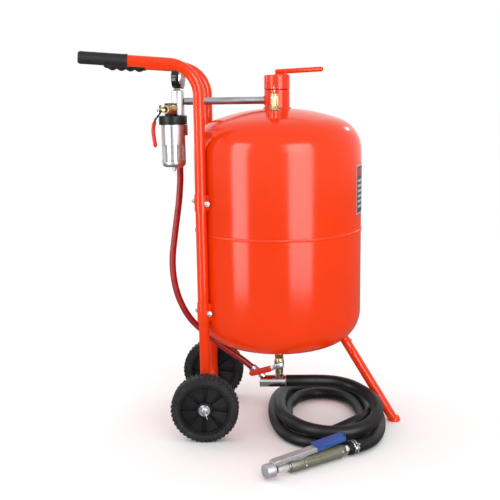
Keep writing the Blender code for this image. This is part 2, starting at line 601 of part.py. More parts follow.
# The blast hose: hand-chosen points from the tee round the coil to the nozzle.
BLAST_ROUTE = [
    (0.0630, 0.0000, 0.0955), (0.1000, 0.0040, 0.0940), (0.1400, 0.0060, 0.0905), (0.1780, -0.0060, 0.0850),
    (0.2060, -0.0340, 0.0790), (0.2250, -0.0720, 0.0745), (0.2320, -0.1120, 0.0690), (0.2240, -0.1530, 0.0590),
    (0.1980, -0.1880, 0.0510), (0.1600, -0.2090, 0.0465), (0.1220, -0.2130, 0.0465), (0.0870, -0.2040, 0.0465),
    (0.0540, -0.1810, 0.0465), (0.0270, -0.1440, 0.0465), (0.0090, -0.0980, 0.0445), (0.0020, -0.0450, 0.0420),
    (0.0020, 0.0050, 0.0410), (0.0050, 0.0420, 0.0400), (0.0120, 0.0760, 0.0385), (0.0240, 0.1080, 0.0335),
    (0.0430, 0.1370, 0.0230), (0.0720, 0.1570, 0.0160), (0.1070, 0.1640, 0.0152), (0.1410, 0.1580, 0.0160),
    (0.1740, 0.1350, 0.0290), (0.1990, 0.1010, 0.0360), (0.2140, 0.0620, 0.0380), (0.2220, 0.0170, 0.0385),
    (0.2250, -0.0330, 0.0390), (0.2200, -0.0810, 0.0430), (0.2050, -0.1210, 0.0470), (0.1800, -0.1480, 0.0460),
    (0.1510, -0.1620, 0.0380), (0.1210, -0.1650, 0.0265), (0.0910, -0.1620, 0.0170), (0.0630, -0.1480, 0.0152),
    (0.0420, -0.1270, 0.0152), (0.0292, -0.0980, 0.0152), (0.0195, -0.0550, 0.0152), (0.0186, -0.0100, 0.0152),
    (0.0208, 0.0340, 0.0152), (0.0330, 0.0680, 0.0152), (0.0440, 0.0930, 0.0152), (0.0640, 0.1140, 0.0152),
    (0.0900, 0.1270, 0.0152), (0.1160, 0.1300, 0.0152), (0.1440, 0.1230, 0.0152), (0.1680, 0.1060, 0.0152),
    (0.1860, 0.0820, 0.0152), (0.1970, 0.0500, 0.0152), (0.2030, 0.0150, 0.0152), (0.2060, -0.0250, 0.0152),
    (0.2060, -0.0700, 0.0152), (0.2030, -0.1050, 0.0152), (0.1920, -0.1400, 0.0152), (0.1720, -0.1690, 0.0152),
    (0.1430, -0.1900, 0.0152), (0.1040, -0.1990, 0.0152), (0.0670, -0.1930, 0.0152), (0.0350, -0.1730, 0.0152),
    (0.0120, -0.1420, 0.0152), (-0.0020, -0.1000, 0.0152), (-0.0110, -0.0500, 0.0152), (-0.0140, 0.0050, 0.0152),
    (-0.0120, 0.0600, 0.0152), (-0.0040, 0.1080, 0.0152), (0.0140, 0.1490, 0.0152), (0.0430, 0.1800, 0.0152),
    (0.0800, 0.1960, 0.0152), (0.1200, 0.1970, 0.0152), (0.1600, 0.1820, 0.0152), (0.1950, 0.1530, 0.0152),
    (0.2200, 0.1140, 0.0152), (0.2360, 0.0670, 0.0152), (0.2430, 0.0150, 0.0152), (0.2450, -0.0400, 0.0152),
    (0.2410, -0.0930, 0.0152), (0.2310, -0.1410, 0.0152), (0.2130, -0.1830, 0.0155),
]


def make_blast_hose(rubber, zinc):
    start = TEE_CENTRE + X * (TEE_LENGTH / 2 + GAP)
    end = NOZZLE_END + NOZZLE_BACK * (NOZZLE_BODY_LENGTH + 0.0125)
    before = end + NOZZLE_BACK * 0.045
    route = [start] + [Vector(p) for p in BLAST_ROUTE] + [before, end]
    hose("blast_hose", route, BLAST_HOSE_R, 0.042, 2, rubber)
    centre = end + NOZZLE_BACK * 0.014
    ring = turned(ring_profile(BLAST_HOSE_R + 2 * GAP, BLAST_HOSE_R + 0.0020, -0.004, 0.004), 16,
                  along(NOZZLE_BACK, centre))
    add_object("blast_hose_clamp", ring, zinc)


# ---------------------------------------------------------------- nozzle

def make_nozzle(olive, zinc, ceramic, grey, blue, rubber):
    back = along(NOZZLE_BACK, NOZZLE_END)
    length = NOZZLE_BODY_LENGTH
    nipple = rod_profile(0.0105, length + GAP, length + 0.0120)
    add_object("nozzle_nipple", turned(nipple, 6, back), zinc)
    body = [(0.0052, 0), (NOZZLE_BODY_R - 0.002, 0), (NOZZLE_BODY_R, 0.002), (NOZZLE_BODY_R, length - 0.006),
            (NOZZLE_BODY_R - 0.005, length), (0.0052, length)]
    add_object("nozzle_body", turned(body, 20, back), olive)
    tip = [(0.0034, -GAP), (0.0085, -GAP), (0.0085, -0.030), (0.0075, -0.032), (0.0034, -0.032)]
    add_object("nozzle_tip", turned(tip, 16, back), ceramic)
    # Lever, in a frame with local X back along the body's axis, local Y up and local Z across.
    frame = Matrix((NOZZLE_BACK, Z, NOZZLE_BACK.cross(Z))).transposed().to_4x4()
    frame.translation = NOZZLE_END
    pivot = frame @ Vector((LEVER_PIVOT_BACK, LEVER_PIVOT_UP, 0))
    lug = prism([(0.0170, 0.0100), (0.0310, 0.0100), (0.0310, 0.0205), (0.0170, 0.0205)], 0.0150, frame)
    boolean(bpy.data.objects["nozzle_body"], lug, 'UNION', "nozzle_lug")
    outline = [(-0.044, 0.0174), (-0.020, 0.0180), (0.014, 0.0190), (0.018, 0.0145), (0.030, 0.0145),
               (0.034, 0.0195), (0.090, 0.0225), (0.146, 0.0270), (0.146, 0.0315), (0.090, 0.0295),
               (-0.030, 0.0245), (-0.044, 0.0225)]
    lever = add_object("nozzle_lever", prism(outline, 0.0200, frame), grey, pivot)
    cup_spot = along(NOZZLE_BACK, NOZZLE_END + Z * 0.0040)
    cup = [(0, -0.0620), (0.0140, -0.0620), (0.0155, -0.0600), (0.0155, -0.0400), (0.0130, -0.0400),
           (0.0130, -0.0580), (0, -0.0580)]
    boolean(lever, turned(cup, 20, cup_spot), 'UNION', "lever_cup")
    under = [(-0.030, 0.0050), (0.085, 0.0050), (0.085, 0.0255), (-0.030, 0.0205)]
    boolean(lever, prism(under, 0.0160, frame), 'DIFFERENCE', "lever_channel")
    pad = rod_profile(0.0120, -0.0576, -0.0345)
    add_object("nozzle_pad", turned(pad, 16, cup_spot), rubber, pivot)
    shell = [(0.070, 0.0195), (0.146, 0.0245), (0.153, 0.0300), (0.150, 0.0355), (0.070, 0.0320)]
    grip = add_object("nozzle_grip", prism(shell, 0.0250, frame), blue, pivot)
    hollow = [(0.060, 0.0205), (0.090, 0.0222), (0.1463, 0.0267), (0.1463, 0.0318), (0.090, 0.0298),
              (0.060, 0.0286)]
    boolean(grip, prism(hollow, 0.0206, frame), 'DIFFERENCE', "grip_hollow")


# ---------------------------------------------------------------- trolley

def frame_path(side):
    """Centre line of one bent frame tube, from the axle to the handle's end."""
    slope = (HANDLE_END.z - (TUBE_TOP_Z + TUBE_BEND_R)) / (TUBE_X - TUBE_BEND_R - HANDLE_END.x)
    points = [Vector((TUBE_X, TUBE_Y_AXLE, AXLE_R + 0.058)), Vector((TUBE_X, TUBE_Y_AXLE, 0.165)),
              Vector((TUBE_X, TUBE_Y, 0.262)), Vector((TUBE_X, TUBE_Y, TUBE_TOP_Z))]
    steps = 6
    for k in range(1, steps + 1):
        angle = (math.pi / 2 - math.atan(slope)) * k / steps
        points.append(Vector((TUBE_X - TUBE_BEND_R * (1 - math.cos(angle)), TUBE_Y + 0.0015 * k / steps,
                              TUBE_TOP_Z + TUBE_BEND_R * math.sin(angle))))
    points.append(HANDLE_END)
    return [Vector((p.x, p.y * side, p.z)) for p in points]


def make_frame(name, side, paint, rubber):
    path = frame_path(side)
    tube = add_object("frame_" + name, swept(path, TUBE_R, 12, TUBE_R - TUBE_WALL), paint)
    hole = turned(rod_profile(AXLE_R + GAP, -0.03, 0.03), 12, along(Y, (AXLE_X, side * TUBE_Y_AXLE, WHEEL_R)))
    boolean(tube, hole, 'DIFFERENCE', "axle_hole_" + name)
    end, before = path[-1], path[-2]
    axis = (end - before).normalized()
    start = end - axis * ((GRIP_START_X - end.x) / -axis.x)
    length = (end - start).length
    inner = TUBE_R + GAP
    grip = [(0, length + 0.0005), (inner, length + 0.0005), (inner, 0), (GRIP_R - 0.0004, 0), (GRIP_R, 0.001),
            (GRIP_R, length - 0.002), (GRIP_R - 0.004, length + 0.004), (0, length + 0.004)]
    add_object("handle_grip_" + name, turned(grip, 18, along(axis, start)), rubber)


def make_clamps(steel, guide):
    for level, (low, high) in zip(("lower", "upper"), CLAMP_Z):
        for name, side in (("left", -1), ("right", 1)):
            spot = Matrix.Translation((TUBE_X, side * TUBE_Y, 0))
            strap_ring = turned(ring_profile(TUBE_R + GAP, TUBE_R + 0.0028, low, high), 16, spot)
            clamp = add_object(f"clamp_{level}_{name}", strap_ring, steel)
            share_cutter(clamp, guide)


def make_axle_and_wheels(zinc, plastic, rubber):
    add_object("axle", turned(rod_profile(AXLE_R, -AXLE_HALF, AXLE_HALF, 0.001), 12,
                              along(Y, (AXLE_X, 0, WHEEL_R))), zinc)
    half = WHEEL_HALF_WIDTH
    for name, side in (("left", -1), ("right", 1)):
        centre = Vector((AXLE_X, side * WHEEL_Y, WHEEL_R))
        spot = along(Y * side, centre)
        bore = AXLE_R + GAP
        web = half * 0.35
        hub = [(bore, -half), (HUB_R, -half), (HUB_R, -web), (RIM_R - 0.010, -web), (RIM_R - 0.006, -half + 0.002),
               (RIM_R, -half + 0.002), (RIM_R, half - 0.002), (RIM_R - 0.006, half - 0.002), (RIM_R - 0.010, web),
               (HUB_R, web), (HUB_R, half), (bore, half)]
        add_object("wheel_hub_" + name, turned(hub, 24, spot), plastic, centre)
        inner = RIM_R + GAP
        tyre = [(inner, -half + 0.001), (inner + 0.006, -half), (WHEEL_R - 0.005, -half + 0.001), (WHEEL_R, -half + 0.006),
                (WHEEL_R, half - 0.006), (WHEEL_R - 0.005, half - 0.001), (inner + 0.006, half), (inner, half - 0.001)]
        add_object("wheel_tyre_" + name, turned(tyre, 32, spot), rubber, centre)


def make_front_leg(paint, guide):
    turn = Matrix.Rotation(LEG_TURN, 3, 'Z')
    top, foot = turn @ LEG_TOP, turn @ Vector((FOOT_X, 0, 0))
    down = (foot - top).normalized()
    path = [top, foot - down * 0.004, foot + down * 0.010]
    leg = add_object("front_leg", swept(path, LEG_R, 14, LEG_R - TUBE_WALL), paint)
    flare = turned([(0, 0), (0.0140, 0), (FOOT_HALF, 0.002), (FOOT_HALF, 0.004), (0.0125, 0.008), (0, 0.009)], 16,
                   Matrix.Translation(foot))
    boolean(leg, flare, 'UNION', "foot_flare")
    floor = block((0.2, 0.2, 0.04), Matrix.Translation(foot - Z * 0.02))
    boolean(leg, floor, 'DIFFERENCE', "floor_cut")
    share_cutter(leg, guide)


# ---------------------------------------------------------------- assembly

def main():
    clear_scene()
    pot_axis = bpy.data.objects.new("pot_axis", None)
    bpy.context.scene.collection.objects.link(pot_axis)
    pot_axis.location = (POT_X, 0, 0)

    paint = material("orange_paint", (0.90, 0.045, 0.010), 0.22)
    black = material("black_plastic", (0.012, 0.012, 0.013), 0.40)
    rubber = material("black_rubber", (0.018, 0.018, 0.019), 0.60)
    tyre = material("tyre_rubber", (0.020, 0.020, 0.022), 0.70)
    brass = material("brass", (0.62, 0.42, 0.16), 0.30, 1.0)
    chrome = material("chrome", (0.75, 0.75, 0.76), 0.12, 1.0)
    zinc = material("zinc_plate", (0.62, 0.64, 0.66), 0.35, 1.0)
    silver = material("bowl_guard_silver", (0.66, 0.66, 0.68), 0.28, 1.0)
    clear = material("clear_bowl", (0.85, 0.88, 0.88), 0.10, 0.0, 0.35)
    glass = material("gauge_glass", (0.90, 0.92, 0.92), 0.05, 0.0, 0.30)
    white = material("white_plastic", (0.80, 0.80, 0.78), 0.50)
    red = material("red_plastic", (0.45, 0.02, 0.02), 0.40)
    red_hose = material("red_hose", (0.36, 0.012, 0.010), 0.45)
    olive = material("olive_cast", (0.21, 0.20, 0.13), 0.50, 0.4)
    grey = material("grey_cast", (0.38, 0.39, 0.41), 0.45, 0.5)
    blue = material("blue_vinyl", (0.012, 0.075, 0.37), 0.40)
    ceramic = material("ceramic_tip", (0.62, 0.57, 0.58), 0.35)

    make_shells(paint)
    guide = add_object("tank_outline", tank_guide(), paint)
    guide.hide_render = True
    guide.display_type = 'WIRE'
    make_filler(paint, rubber)
    make_relief_valve(paint, brass, guide)
    make_gauge(black, chrome, white, glass, brass)
    make_air_line(zinc, chrome)
    make_filter(black, silver, clear, white, red, brass)
    make_inlet_valve((brass, zinc, red))
    make_meter_valve((brass, zinc, paint))
    make_tee(chrome)
    make_air_hose(red_hose, zinc, brass)
    make_blast_hose(rubber, zinc)
    make_nozzle(olive, zinc, ceramic, grey, blue, rubber)
    for name, side in (("left", -1), ("right", 1)):
        make_frame(name, side, paint, rubber)
    make_clamps(paint, guide)
    make_axle_and_wheels(zinc, black, tyre)
    make_front_leg(paint, guide)


main()
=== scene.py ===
"""Looks of the portable abrasive blasting pot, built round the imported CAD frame.

Places are measured from the vessel's axis, as in the CAD part; add() shifts them to the frame's
origin.
"""

import math

import bmesh
import bpy
from mathutils import Matrix, Vector, noise


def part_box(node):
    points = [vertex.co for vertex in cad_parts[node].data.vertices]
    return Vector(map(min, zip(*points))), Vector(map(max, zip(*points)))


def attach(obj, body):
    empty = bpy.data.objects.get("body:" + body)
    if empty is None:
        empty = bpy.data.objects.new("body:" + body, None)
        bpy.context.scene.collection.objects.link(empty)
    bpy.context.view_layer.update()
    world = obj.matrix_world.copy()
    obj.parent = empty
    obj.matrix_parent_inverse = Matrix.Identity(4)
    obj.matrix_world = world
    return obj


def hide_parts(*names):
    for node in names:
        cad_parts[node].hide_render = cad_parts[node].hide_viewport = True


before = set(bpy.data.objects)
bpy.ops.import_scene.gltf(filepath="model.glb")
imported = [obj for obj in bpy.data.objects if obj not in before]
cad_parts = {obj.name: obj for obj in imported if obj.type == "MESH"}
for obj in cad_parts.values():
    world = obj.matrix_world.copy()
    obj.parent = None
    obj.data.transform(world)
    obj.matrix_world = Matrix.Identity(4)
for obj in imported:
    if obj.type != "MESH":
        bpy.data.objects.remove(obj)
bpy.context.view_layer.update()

X, Y, Z = Vector((1, 0, 0)), Vector((0, 1, 0)), Vector((0, 0, 1))
SHELL_LOW, SHELL_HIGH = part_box("upper_shell")
AXIS_X = (SHELL_LOW.x + SHELL_HIGH.x) / 2           # the vessel's axis in the frame
TO_FRAME = Matrix.Translation((AXIS_X, 0, 0))
TANK_R, TANK_WALL = 0.2, 0.0032
CROWN_R, KNUCKLE_R = 0.44, 0.08
TANK_LOW_Z, TANK_HIGH_Z, SEAM_Z = 0.286, 0.6724, 0.486
NECK_R, NECK_BORE_R = 0.03015, 0.0268
MANIFOLD_X = -0.236
FILTER = Vector((-0.2465, -0.02, 0))
GAUGE = Vector((-0.2335, 0.0, 0.845))
GAUGE_TURN = math.radians(-8)
TEE = Vector((-0.0165, 0.0, 0.0955))
METER_Z = 0.1425
PIPE_Z = 0.7915
RELIEF_X, RELIEF_Y = -0.006, -0.125
DROP_X, DROP_Y = -0.2385, 0.029                     # the outlet pipe of the manifold
GAUGE_STEM_X = -0.2375
TUBE_RADIUS = 0.0125
TUBE_X, TUBE_Y = -0.1755, 0.1215
WHEEL_Z, WHEEL_Y, AXLE_X = 0.08, 0.147, -0.176
LEG_TURN = Matrix.Rotation(math.radians(-5), 4, 'Z')
NOZZLE = Vector((0.018, -0.328, 0.017))
BACK = Vector((0.826, 0.564, 0.0)).normalized()


# ---------------------------------------------------------------- camera, light, floor

def make_camera():
    yaw, pitch, roll = -0.032, 0.182, -0.0144
    forward = Vector((math.sin(yaw) * math.cos(pitch), math.cos(yaw) * math.cos(pitch),
                      -math.sin(pitch)))
    right = Vector((math.cos(yaw), -math.sin(yaw), 0))
    up = right.cross(forward)
    side = right * math.cos(roll) + up * math.sin(roll)
    top = up * math.cos(roll) - right * math.sin(roll)
    data = bpy.data.cameras.new("camera")
    data.sensor_width = 36
    data.lens = 60.45
    camera = bpy.data.objects.new("camera", data)
    bpy.context.scene.collection.objects.link(camera)
    pose = Matrix((side, top, -forward)).transposed().to_4x4()
    pose.translation = Vector((-0.0045, -2.0222, 0.8031)) + X * AXIS_X
    camera.matrix_world = pose
    bpy.context.scene.camera = camera


def make_area_light(name, place, size, power, aim=(0, 0, 0.45), diffuse=True):
    data = bpy.data.lights.new(name, 'AREA')
    data.shape = 'RECTANGLE'
    data.size, data.size_y = size
    data.energy = power
    lamp = bpy.data.objects.new(name, data)
    bpy.context.scene.collection.objects.link(lamp)
    lamp.location = Vector(place) + X * AXIS_X
    lamp.rotation_euler = (Vector(aim) - Vector(place)).to_track_quat('-Z', 'Y').to_euler()
    lamp.visible_diffuse = diffuse
    lamp.visible_camera = False


def make_studio():
    world = bpy.data.worlds.new("studio")
    world.use_nodes = True
    nodes, links = world.node_tree.nodes, world.node_tree.links
    direction = nodes.new('ShaderNodeTexCoord')
    split = nodes.new('ShaderNodeSeparateXYZ')
    links.new(direction.outputs["Generated"], split.inputs["Vector"])
    shade = nodes.new('ShaderNodeMapRange')
    shade.inputs["From Min"].default_value, shade.inputs["From Max"].default_value = -0.1, -0.055
    shade.inputs["To Min"].default_value, shade.inputs["To Max"].default_value = 0.24, 1.0
    links.new(split.outputs["Z"], shade.inputs["Value"])
    links.new(shade.outputs["Result"], nodes["Background"].inputs["Strength"])
    nodes["Background"].inputs["Color"].default_value = (1.0, 1.0, 1.0, 1)
    bpy.context.scene.world = world
    bpy.context.scene.view_settings.view_transform = 'Standard'
    make_area_light("gloss_right", (1.1, -1.95, 0.85), (1.3, 2.2), 72, diffuse=False)
    make_area_light("gloss_left", (-1.7, -1.4, 0.85), (0.85, 2.2), 50, diffuse=False)
    make_area_light("fill_right", (0.9, -2.2, 1.5), (1.2, 1.2), 10)
    make_area_light("fill_left", (-2.2, 0.6, 1.2), (0.8, 1.6), 8)
    make_area_light("spot_behind", (1.35, 1.75, 1.62), (0.16, 0.16), 2.0)
    mesh = bpy.data.meshes.new("floor")
    reach = 30
    mesh.from_pydata([(-reach, -reach, 0), (reach, -reach, 0), (reach, reach, 0),
                      (-reach, reach, 0)], [], [(0, 1, 2, 3)])
    mesh.materials.append(make_material("floor", (1.0, 1.0, 1.0), 0.9, variation=0.004, scale=0.6,
                                        specular=0.0))
    floor = bpy.data.objects.new("floor", mesh)
    # The white floor isn't mirrored in gloss, as on a small table in a dim room.
    floor.visible_glossy = False
    bpy.context.scene.collection.objects.link(floor)


# ---------------------------------------------------------------- materials

def make_material(name, colour, roughness, metallic=0.0, variation=0.06, scale=40.0,
                  stretch=(1, 1, 1),
                  bump=0.0, bump_scale=400.0, coat=0.0, sheen=0.0, roughness_spread=0.06, alpha=1.0,
                  tint=None, specular=0.5):
    """Principled material whose colour, roughness and bump come from noise in object space."""
    mat = bpy.data.materials.new(name)
    mat.use_nodes = True
    nodes, links = mat.node_tree.nodes, mat.node_tree.links
    shader = nodes["Principled BSDF"]
    place = nodes.new('ShaderNodeTexCoord')
    mapping = nodes.new('ShaderNodeMapping')
    mapping.inputs["Scale"].default_value = stretch
    links.new(place.outputs["Object"], mapping.inputs["Vector"])
    grain = nodes.new('ShaderNodeTexNoise')
    grain.inputs["Scale"].default_value = scale
    grain.inputs["Detail"].default_value = 5
    links.new(mapping.outputs["Vector"], grain.inputs["Vector"])
    ramp = nodes.new('ShaderNodeValToRGB')
    dark = [c * (1 - variation) for c in colour]
    light = [min(1, c * (1 + variation * 0.7)) for c in (tint or colour)]
    ramp.color_ramp.elements[0].position, ramp.color_ramp.elements[1].position = 0.3, 0.7
    ramp.color_ramp.elements[0].color = (*dark, 1)
    ramp.color_ramp.elements[1].color = (*light, 1)
    links.new(grain.outputs["Fac"], ramp.inputs["Fac"])
    links.new(ramp.outputs["Color"], shader.inputs["Base Color"])
    spread = nodes.new('ShaderNodeMapRange')
    spread.inputs["To Min"].default_value = max(0.02, roughness - roughness_spread)
    spread.inputs["To Max"].default_value = roughness + roughness_spread
    links.new(grain.outputs["Fac"], spread.inputs["Value"])
    links.new(spread.outputs["Result"], shader.inputs["Roughness"])
    if bump:
        fine = nodes.new('ShaderNodeTexNoise')
        fine.inputs["Scale"].default_value = bump_scale
        fine.inputs["Detail"].default_value = 3
        links.new(mapping.outputs["Vector"], fine.inputs["Vector"])
        relief = nodes.new('ShaderNodeBump')
        relief.inputs["Strength"].default_value = bump
        relief.inputs["Distance"].default_value = 0.0006
        links.new(fine.outputs["Fac"], relief.inputs["Height"])
        links.new(relief.outputs["Normal"], shader.inputs["Normal"])
    shader.inputs["Metallic"].default_value = metallic
    shader.inputs["Coat Weight"].default_value = coat
    shader.inputs["Coat Roughness"].default_value = 0.04
    shader.inputs["Sheen Weight"].default_value = sheen
    shader.inputs["Alpha"].default_value = alpha
    shader.inputs["Specular IOR Level"].default_value = specular
    return mat


PAINT = make_material("orange_powder_coat", (0.84, 0.041, 0.002), 0.16, variation=0.04, scale=5,
                      bump=0.04,
                      bump_scale=260, tint=(0.87, 0.044, 0.0022), roughness_spread=0.03,
                      specular=0.27)
ZINC = make_material("zinc_plate", (0.52, 0.53, 0.55), 0.36, 1.0, variation=0.35, scale=160,
                     bump=0.25,
                     tint=(0.7, 0.71, 0.72))
GALVANISED = make_material("galvanised_pipe", (0.36, 0.37, 0.4), 0.34, 1.0, variation=0.35,
                           scale=120,
                           stretch=(0.15, 1, 1), bump=0.25, bump_scale=500)
CHROME = make_material("chrome", (0.58, 0.59, 0.61), 0.12, 1.0, variation=0.1, scale=60,
                       roughness_spread=0.05)
BRASS = make_material("brass", (0.38, 0.27, 0.13), 0.3, 1.0, variation=0.35, scale=130, bump=0.2,
                      tint=(0.54, 0.41, 0.22))
BLACK = make_material("black_plastic", (0.01, 0.01, 0.012), 0.36, specular=0.22, variation=0.3,
                      scale=90, bump=0.12,
                      bump_scale=900)
GLOSS_BLACK = make_material("glossy_black", (0.008, 0.008, 0.009), 0.16, specular=0.22,
                            variation=0.2, scale=60, coat=0.3)
GRIP_RUBBER = make_material("grip_rubber", (0.014, 0.014, 0.016), 0.55, specular=0.22,
                            variation=0.35, scale=120, bump=0.35,
                            bump_scale=700, sheen=0.04)
HOSE_RUBBER = make_material("hose_rubber", (0.008, 0.008, 0.01), 0.42, specular=0.22, variation=0.4,
                            scale=70, bump=0.3,
                            bump_scale=420, sheen=0.02, roughness_spread=0.1)
TYRE = make_material("tyre_rubber", (0.013, 0.013, 0.015), 0.62, specular=0.22, variation=0.45,
                     scale=60, bump=0.35,
                     bump_scale=500, sheen=0.03, tint=(0.018, 0.018, 0.02))
WHEEL = make_material("wheel_plastic", (0.012, 0.012, 0.014), 0.42, specular=0.22, variation=0.3,
                      scale=50, bump=0.15,
                      bump_scale=600)
SATIN = make_material("satin_aluminium", (0.52, 0.52, 0.54), 0.4, 1.0, variation=0.1, scale=220,
                      stretch=(1, 1, 0.08), bump=0.1, bump_scale=700)
CLEAR = make_material("clear_bowl", (0.82, 0.86, 0.86), 0.08, variation=0.02, alpha=0.35,
                      specular=0.6)
GLASS = make_material("gauge_glass", (0.92, 0.94, 0.94), 0.05, variation=0.01, alpha=0.22,
                      specular=0.7)
WHITE = make_material("white_plastic", (0.78, 0.78, 0.75), 0.45, variation=0.04, scale=150,
                      bump=0.1)
RED = make_material("red_vinyl", (0.4, 0.012, 0.01), 0.32, variation=0.15, scale=50, bump=0.12,
                    coat=0.1, specular=0.3,
                    bump_scale=200)
ORANGE_VINYL = make_material("orange_vinyl", (0.74, 0.028, 0.008), 0.34, variation=0.1, scale=50,
                             bump=0.15,
                             bump_scale=200, coat=0.1, specular=0.3)
RED_HOSE = make_material("red_hose_rubber", (0.32, 0.008, 0.006), 0.36, variation=0.15, scale=60,
                         bump=0.12,
                         bump_scale=500, coat=0.05, tint=(0.38, 0.01, 0.008), specular=0.3)
OLIVE = make_material("olive_enamel", (0.185, 0.18, 0.125), 0.46, 0.25, variation=0.15, scale=120,
                      bump=0.35,
                      bump_scale=420)
GREY = make_material("grey_cast", (0.4, 0.41, 0.43), 0.4, 0.35, variation=0.12, scale=110,
                     bump=0.35,
                     bump_scale=420)
BLUE = make_material("blue_dipped_vinyl", (0.004, 0.085, 0.34), 0.34, variation=0.12, scale=50,
                     bump=0.15,
                     bump_scale=160, coat=0.25)
CERAMIC = make_material("ceramic", (0.6, 0.57, 0.57), 0.3, variation=0.08, scale=160, bump=0.15)
LABEL_DARK = make_material("label_dark", (0.035, 0.032, 0.034), 0.4, variation=0.1, scale=120)
LABEL_SILVER = make_material("label_silver", (0.52, 0.52, 0.53), 0.4, 0.6, variation=0.06,
                             scale=160)
LABEL_GREY = make_material("label_grey", (0.42, 0.42, 0.43), 0.45, variation=0.06, scale=160)
INK = make_material("dial_ink", (0.012, 0.012, 0.014), 0.5, variation=0.05)


# ---------------------------------------------------------------- mesh helpers

def along(axis, point=(0, 0, 0)):
    """Matrix that carries +Z to an axis and the origin to a point."""
    turn = Z.rotation_difference(Vector(axis)).to_matrix().to_4x4()
    return Matrix.Translation(point) @ turn


def at(*point):
    return Matrix.Translation(point)


def polar(angle, radius=1.0, height=0.0):
    return Vector((radius * math.cos(angle), radius * math.sin(angle), height))


def turned(profile, segments, matrix=Matrix()):
    """Turn (radius, height) points about Z; a profile that starts off the axis is a closed ring."""
    bm = bmesh.new()
    verts = [bm.verts.new((radius, 0, height)) for radius, height in profile]
    edges = [bm.edges.new(pair) for pair in zip(verts, verts[1:])]
    if profile[0][0] > 0:
        edges.append(bm.edges.new((verts[-1], verts[0])))
    bmesh.ops.spin(bm, geom=verts + edges, cent=(0, 0, 0), axis=(0, 0, 1), angle=math.tau,
                   steps=segments, use_merge=True)
    bmesh.ops.remove_doubles(bm, verts=bm.verts, dist=1e-6)
    bm.transform(matrix)
    return bm


def rod(radius, low, high, matrix=Matrix(), segments=32, chamfer=0.0004):
    profile = [(0, low), (radius - chamfer, low), (radius, low + chamfer), (radius, high - chamfer),
               (radius - chamfer, high), (0, high)]
    return turned(profile, segments, matrix)


def ring(inner, outer, low, high, matrix=Matrix(), segments=32, chamfer=0.0003):
    profile = [(inner, low), (outer - chamfer, low), (outer, low + chamfer),
               (outer, high - chamfer),
               (outer - chamfer, high), (inner, high)]
    return turned(profile, segments, matrix)


def torus(radius, wire, matrix=Matrix(), segments=48, sides=12):
    angles = [math.tau * k / sides for k in range(sides)]
    return turned([(radius + wire * math.cos(a), wire * math.sin(a)) for a in angles], segments,
                  matrix)


def hexagon(across_flats, low, high, matrix=Matrix(), bore=0.0):
    """Hexagon nut or head with its corners turned down."""
    corner = across_flats / math.sqrt(3)
    flat = across_flats / 2
    ease = corner - flat
    bm = bmesh.new()
    rows = ((flat * 0.97, low), (corner, low + ease * 0.55), (corner, high - ease * 0.55),
            (flat * 0.97, high))
    loops = []
    for radius, height in rows:
        loops.append([bm.verts.new(polar(k * math.tau / 6, radius, height)) for k in range(6)])
    for a, b in zip(loops, loops[1:]):
        bridge(bm, a, b)
    if bore:
        holes = [[bm.verts.new(polar(k * math.tau / 6, bore, h)) for k in range(6)] for h in (low,
                                                                                              high)]
        bridge(bm, loops[0], holes[0])
        bridge(bm, loops[-1], holes[1])
        bridge(bm, holes[0], holes[1])
    else:
        bm.faces.new(loops[0])
        bm.faces.new(loops[-1])
    bm.transform(matrix)
    return bm


def thread(radius, low, high, matrix=Matrix(), pitch=0.0014, depth=0.0006, bore=0.0):
    """Pipe thread as a stack of ridges."""
    count = max(2, round((high - low) / pitch))
    step = (high - low) / count
    profile = [(bore, low)] if bore else [(0, low)]
    for k in range(count):
        profile += [(radius - depth, low + step * k), (radius, low + step * (k + 0.5))]
    profile += [(radius - depth, high), (bore, high)]
    return turned(profile, 32, matrix)


def bridge(bm, ring_a, ring_b):
    for i in range(len(ring_a)):
        j = (i + 1) % len(ring_a)
        bm.faces.new((ring_a[i], ring_a[j], ring_b[j], ring_b[i]))


def skin(bm, rings):
    """Join closed rings one after another and close both ends."""
    for a, b in zip(rings, rings[1:]):
        bridge(bm, a, b)
    bm.faces.new(rings[0])
    bm.faces.new(rings[-1])


def block(size, matrix=Matrix(), bevel=0.0008):
    bm = bmesh.new()
    bmesh.ops.create_cube(bm, size=1.0)
    bm.transform(Matrix.Diagonal((*size, 1.0)))
    bmesh.ops.bevel(bm, geom=list(bm.edges), offset=bevel, segments=3, affect='EDGES', profile=0.5)
    bm.transform(matrix)
    return bm


def prism(outline, thickness, matrix=Matrix(), bevel=0.0):
    bm = bmesh.new()
    face = bm.faces.new([bm.verts.new((x, y, -thickness / 2)) for x, y in outline])
    extruded = bmesh.ops.extrude_face_region(bm, geom=[face])
    moved = [item for item in extruded["geom"] if isinstance(item, bmesh.types.BMVert)]
    bmesh.ops.translate(bm, vec=(0, 0, thickness), verts=moved)
    if bevel:
        bmesh.ops.recalc_face_normals(bm, faces=bm.faces)
        bmesh.ops.bevel(bm, geom=list(bm.edges), offset=bevel, segments=3, affect='EDGES',
                        profile=0.5,
                        clamp_overlap=True)
    bm.transform(matrix)
    return bm


def path_frames(points):
    frames, normal = [], None
    for i, point in enumerate(points):
        tangent = (points[min(i + 1, len(points) - 1)] - points[max(i - 1, 0)]).normalized()
        if normal is None:
            normal = tangent.orthogonal().normalized()
        normal = (normal - tangent * normal.dot(tangent)).normalized()
        frames.append((point, tangent, normal))
    return frames


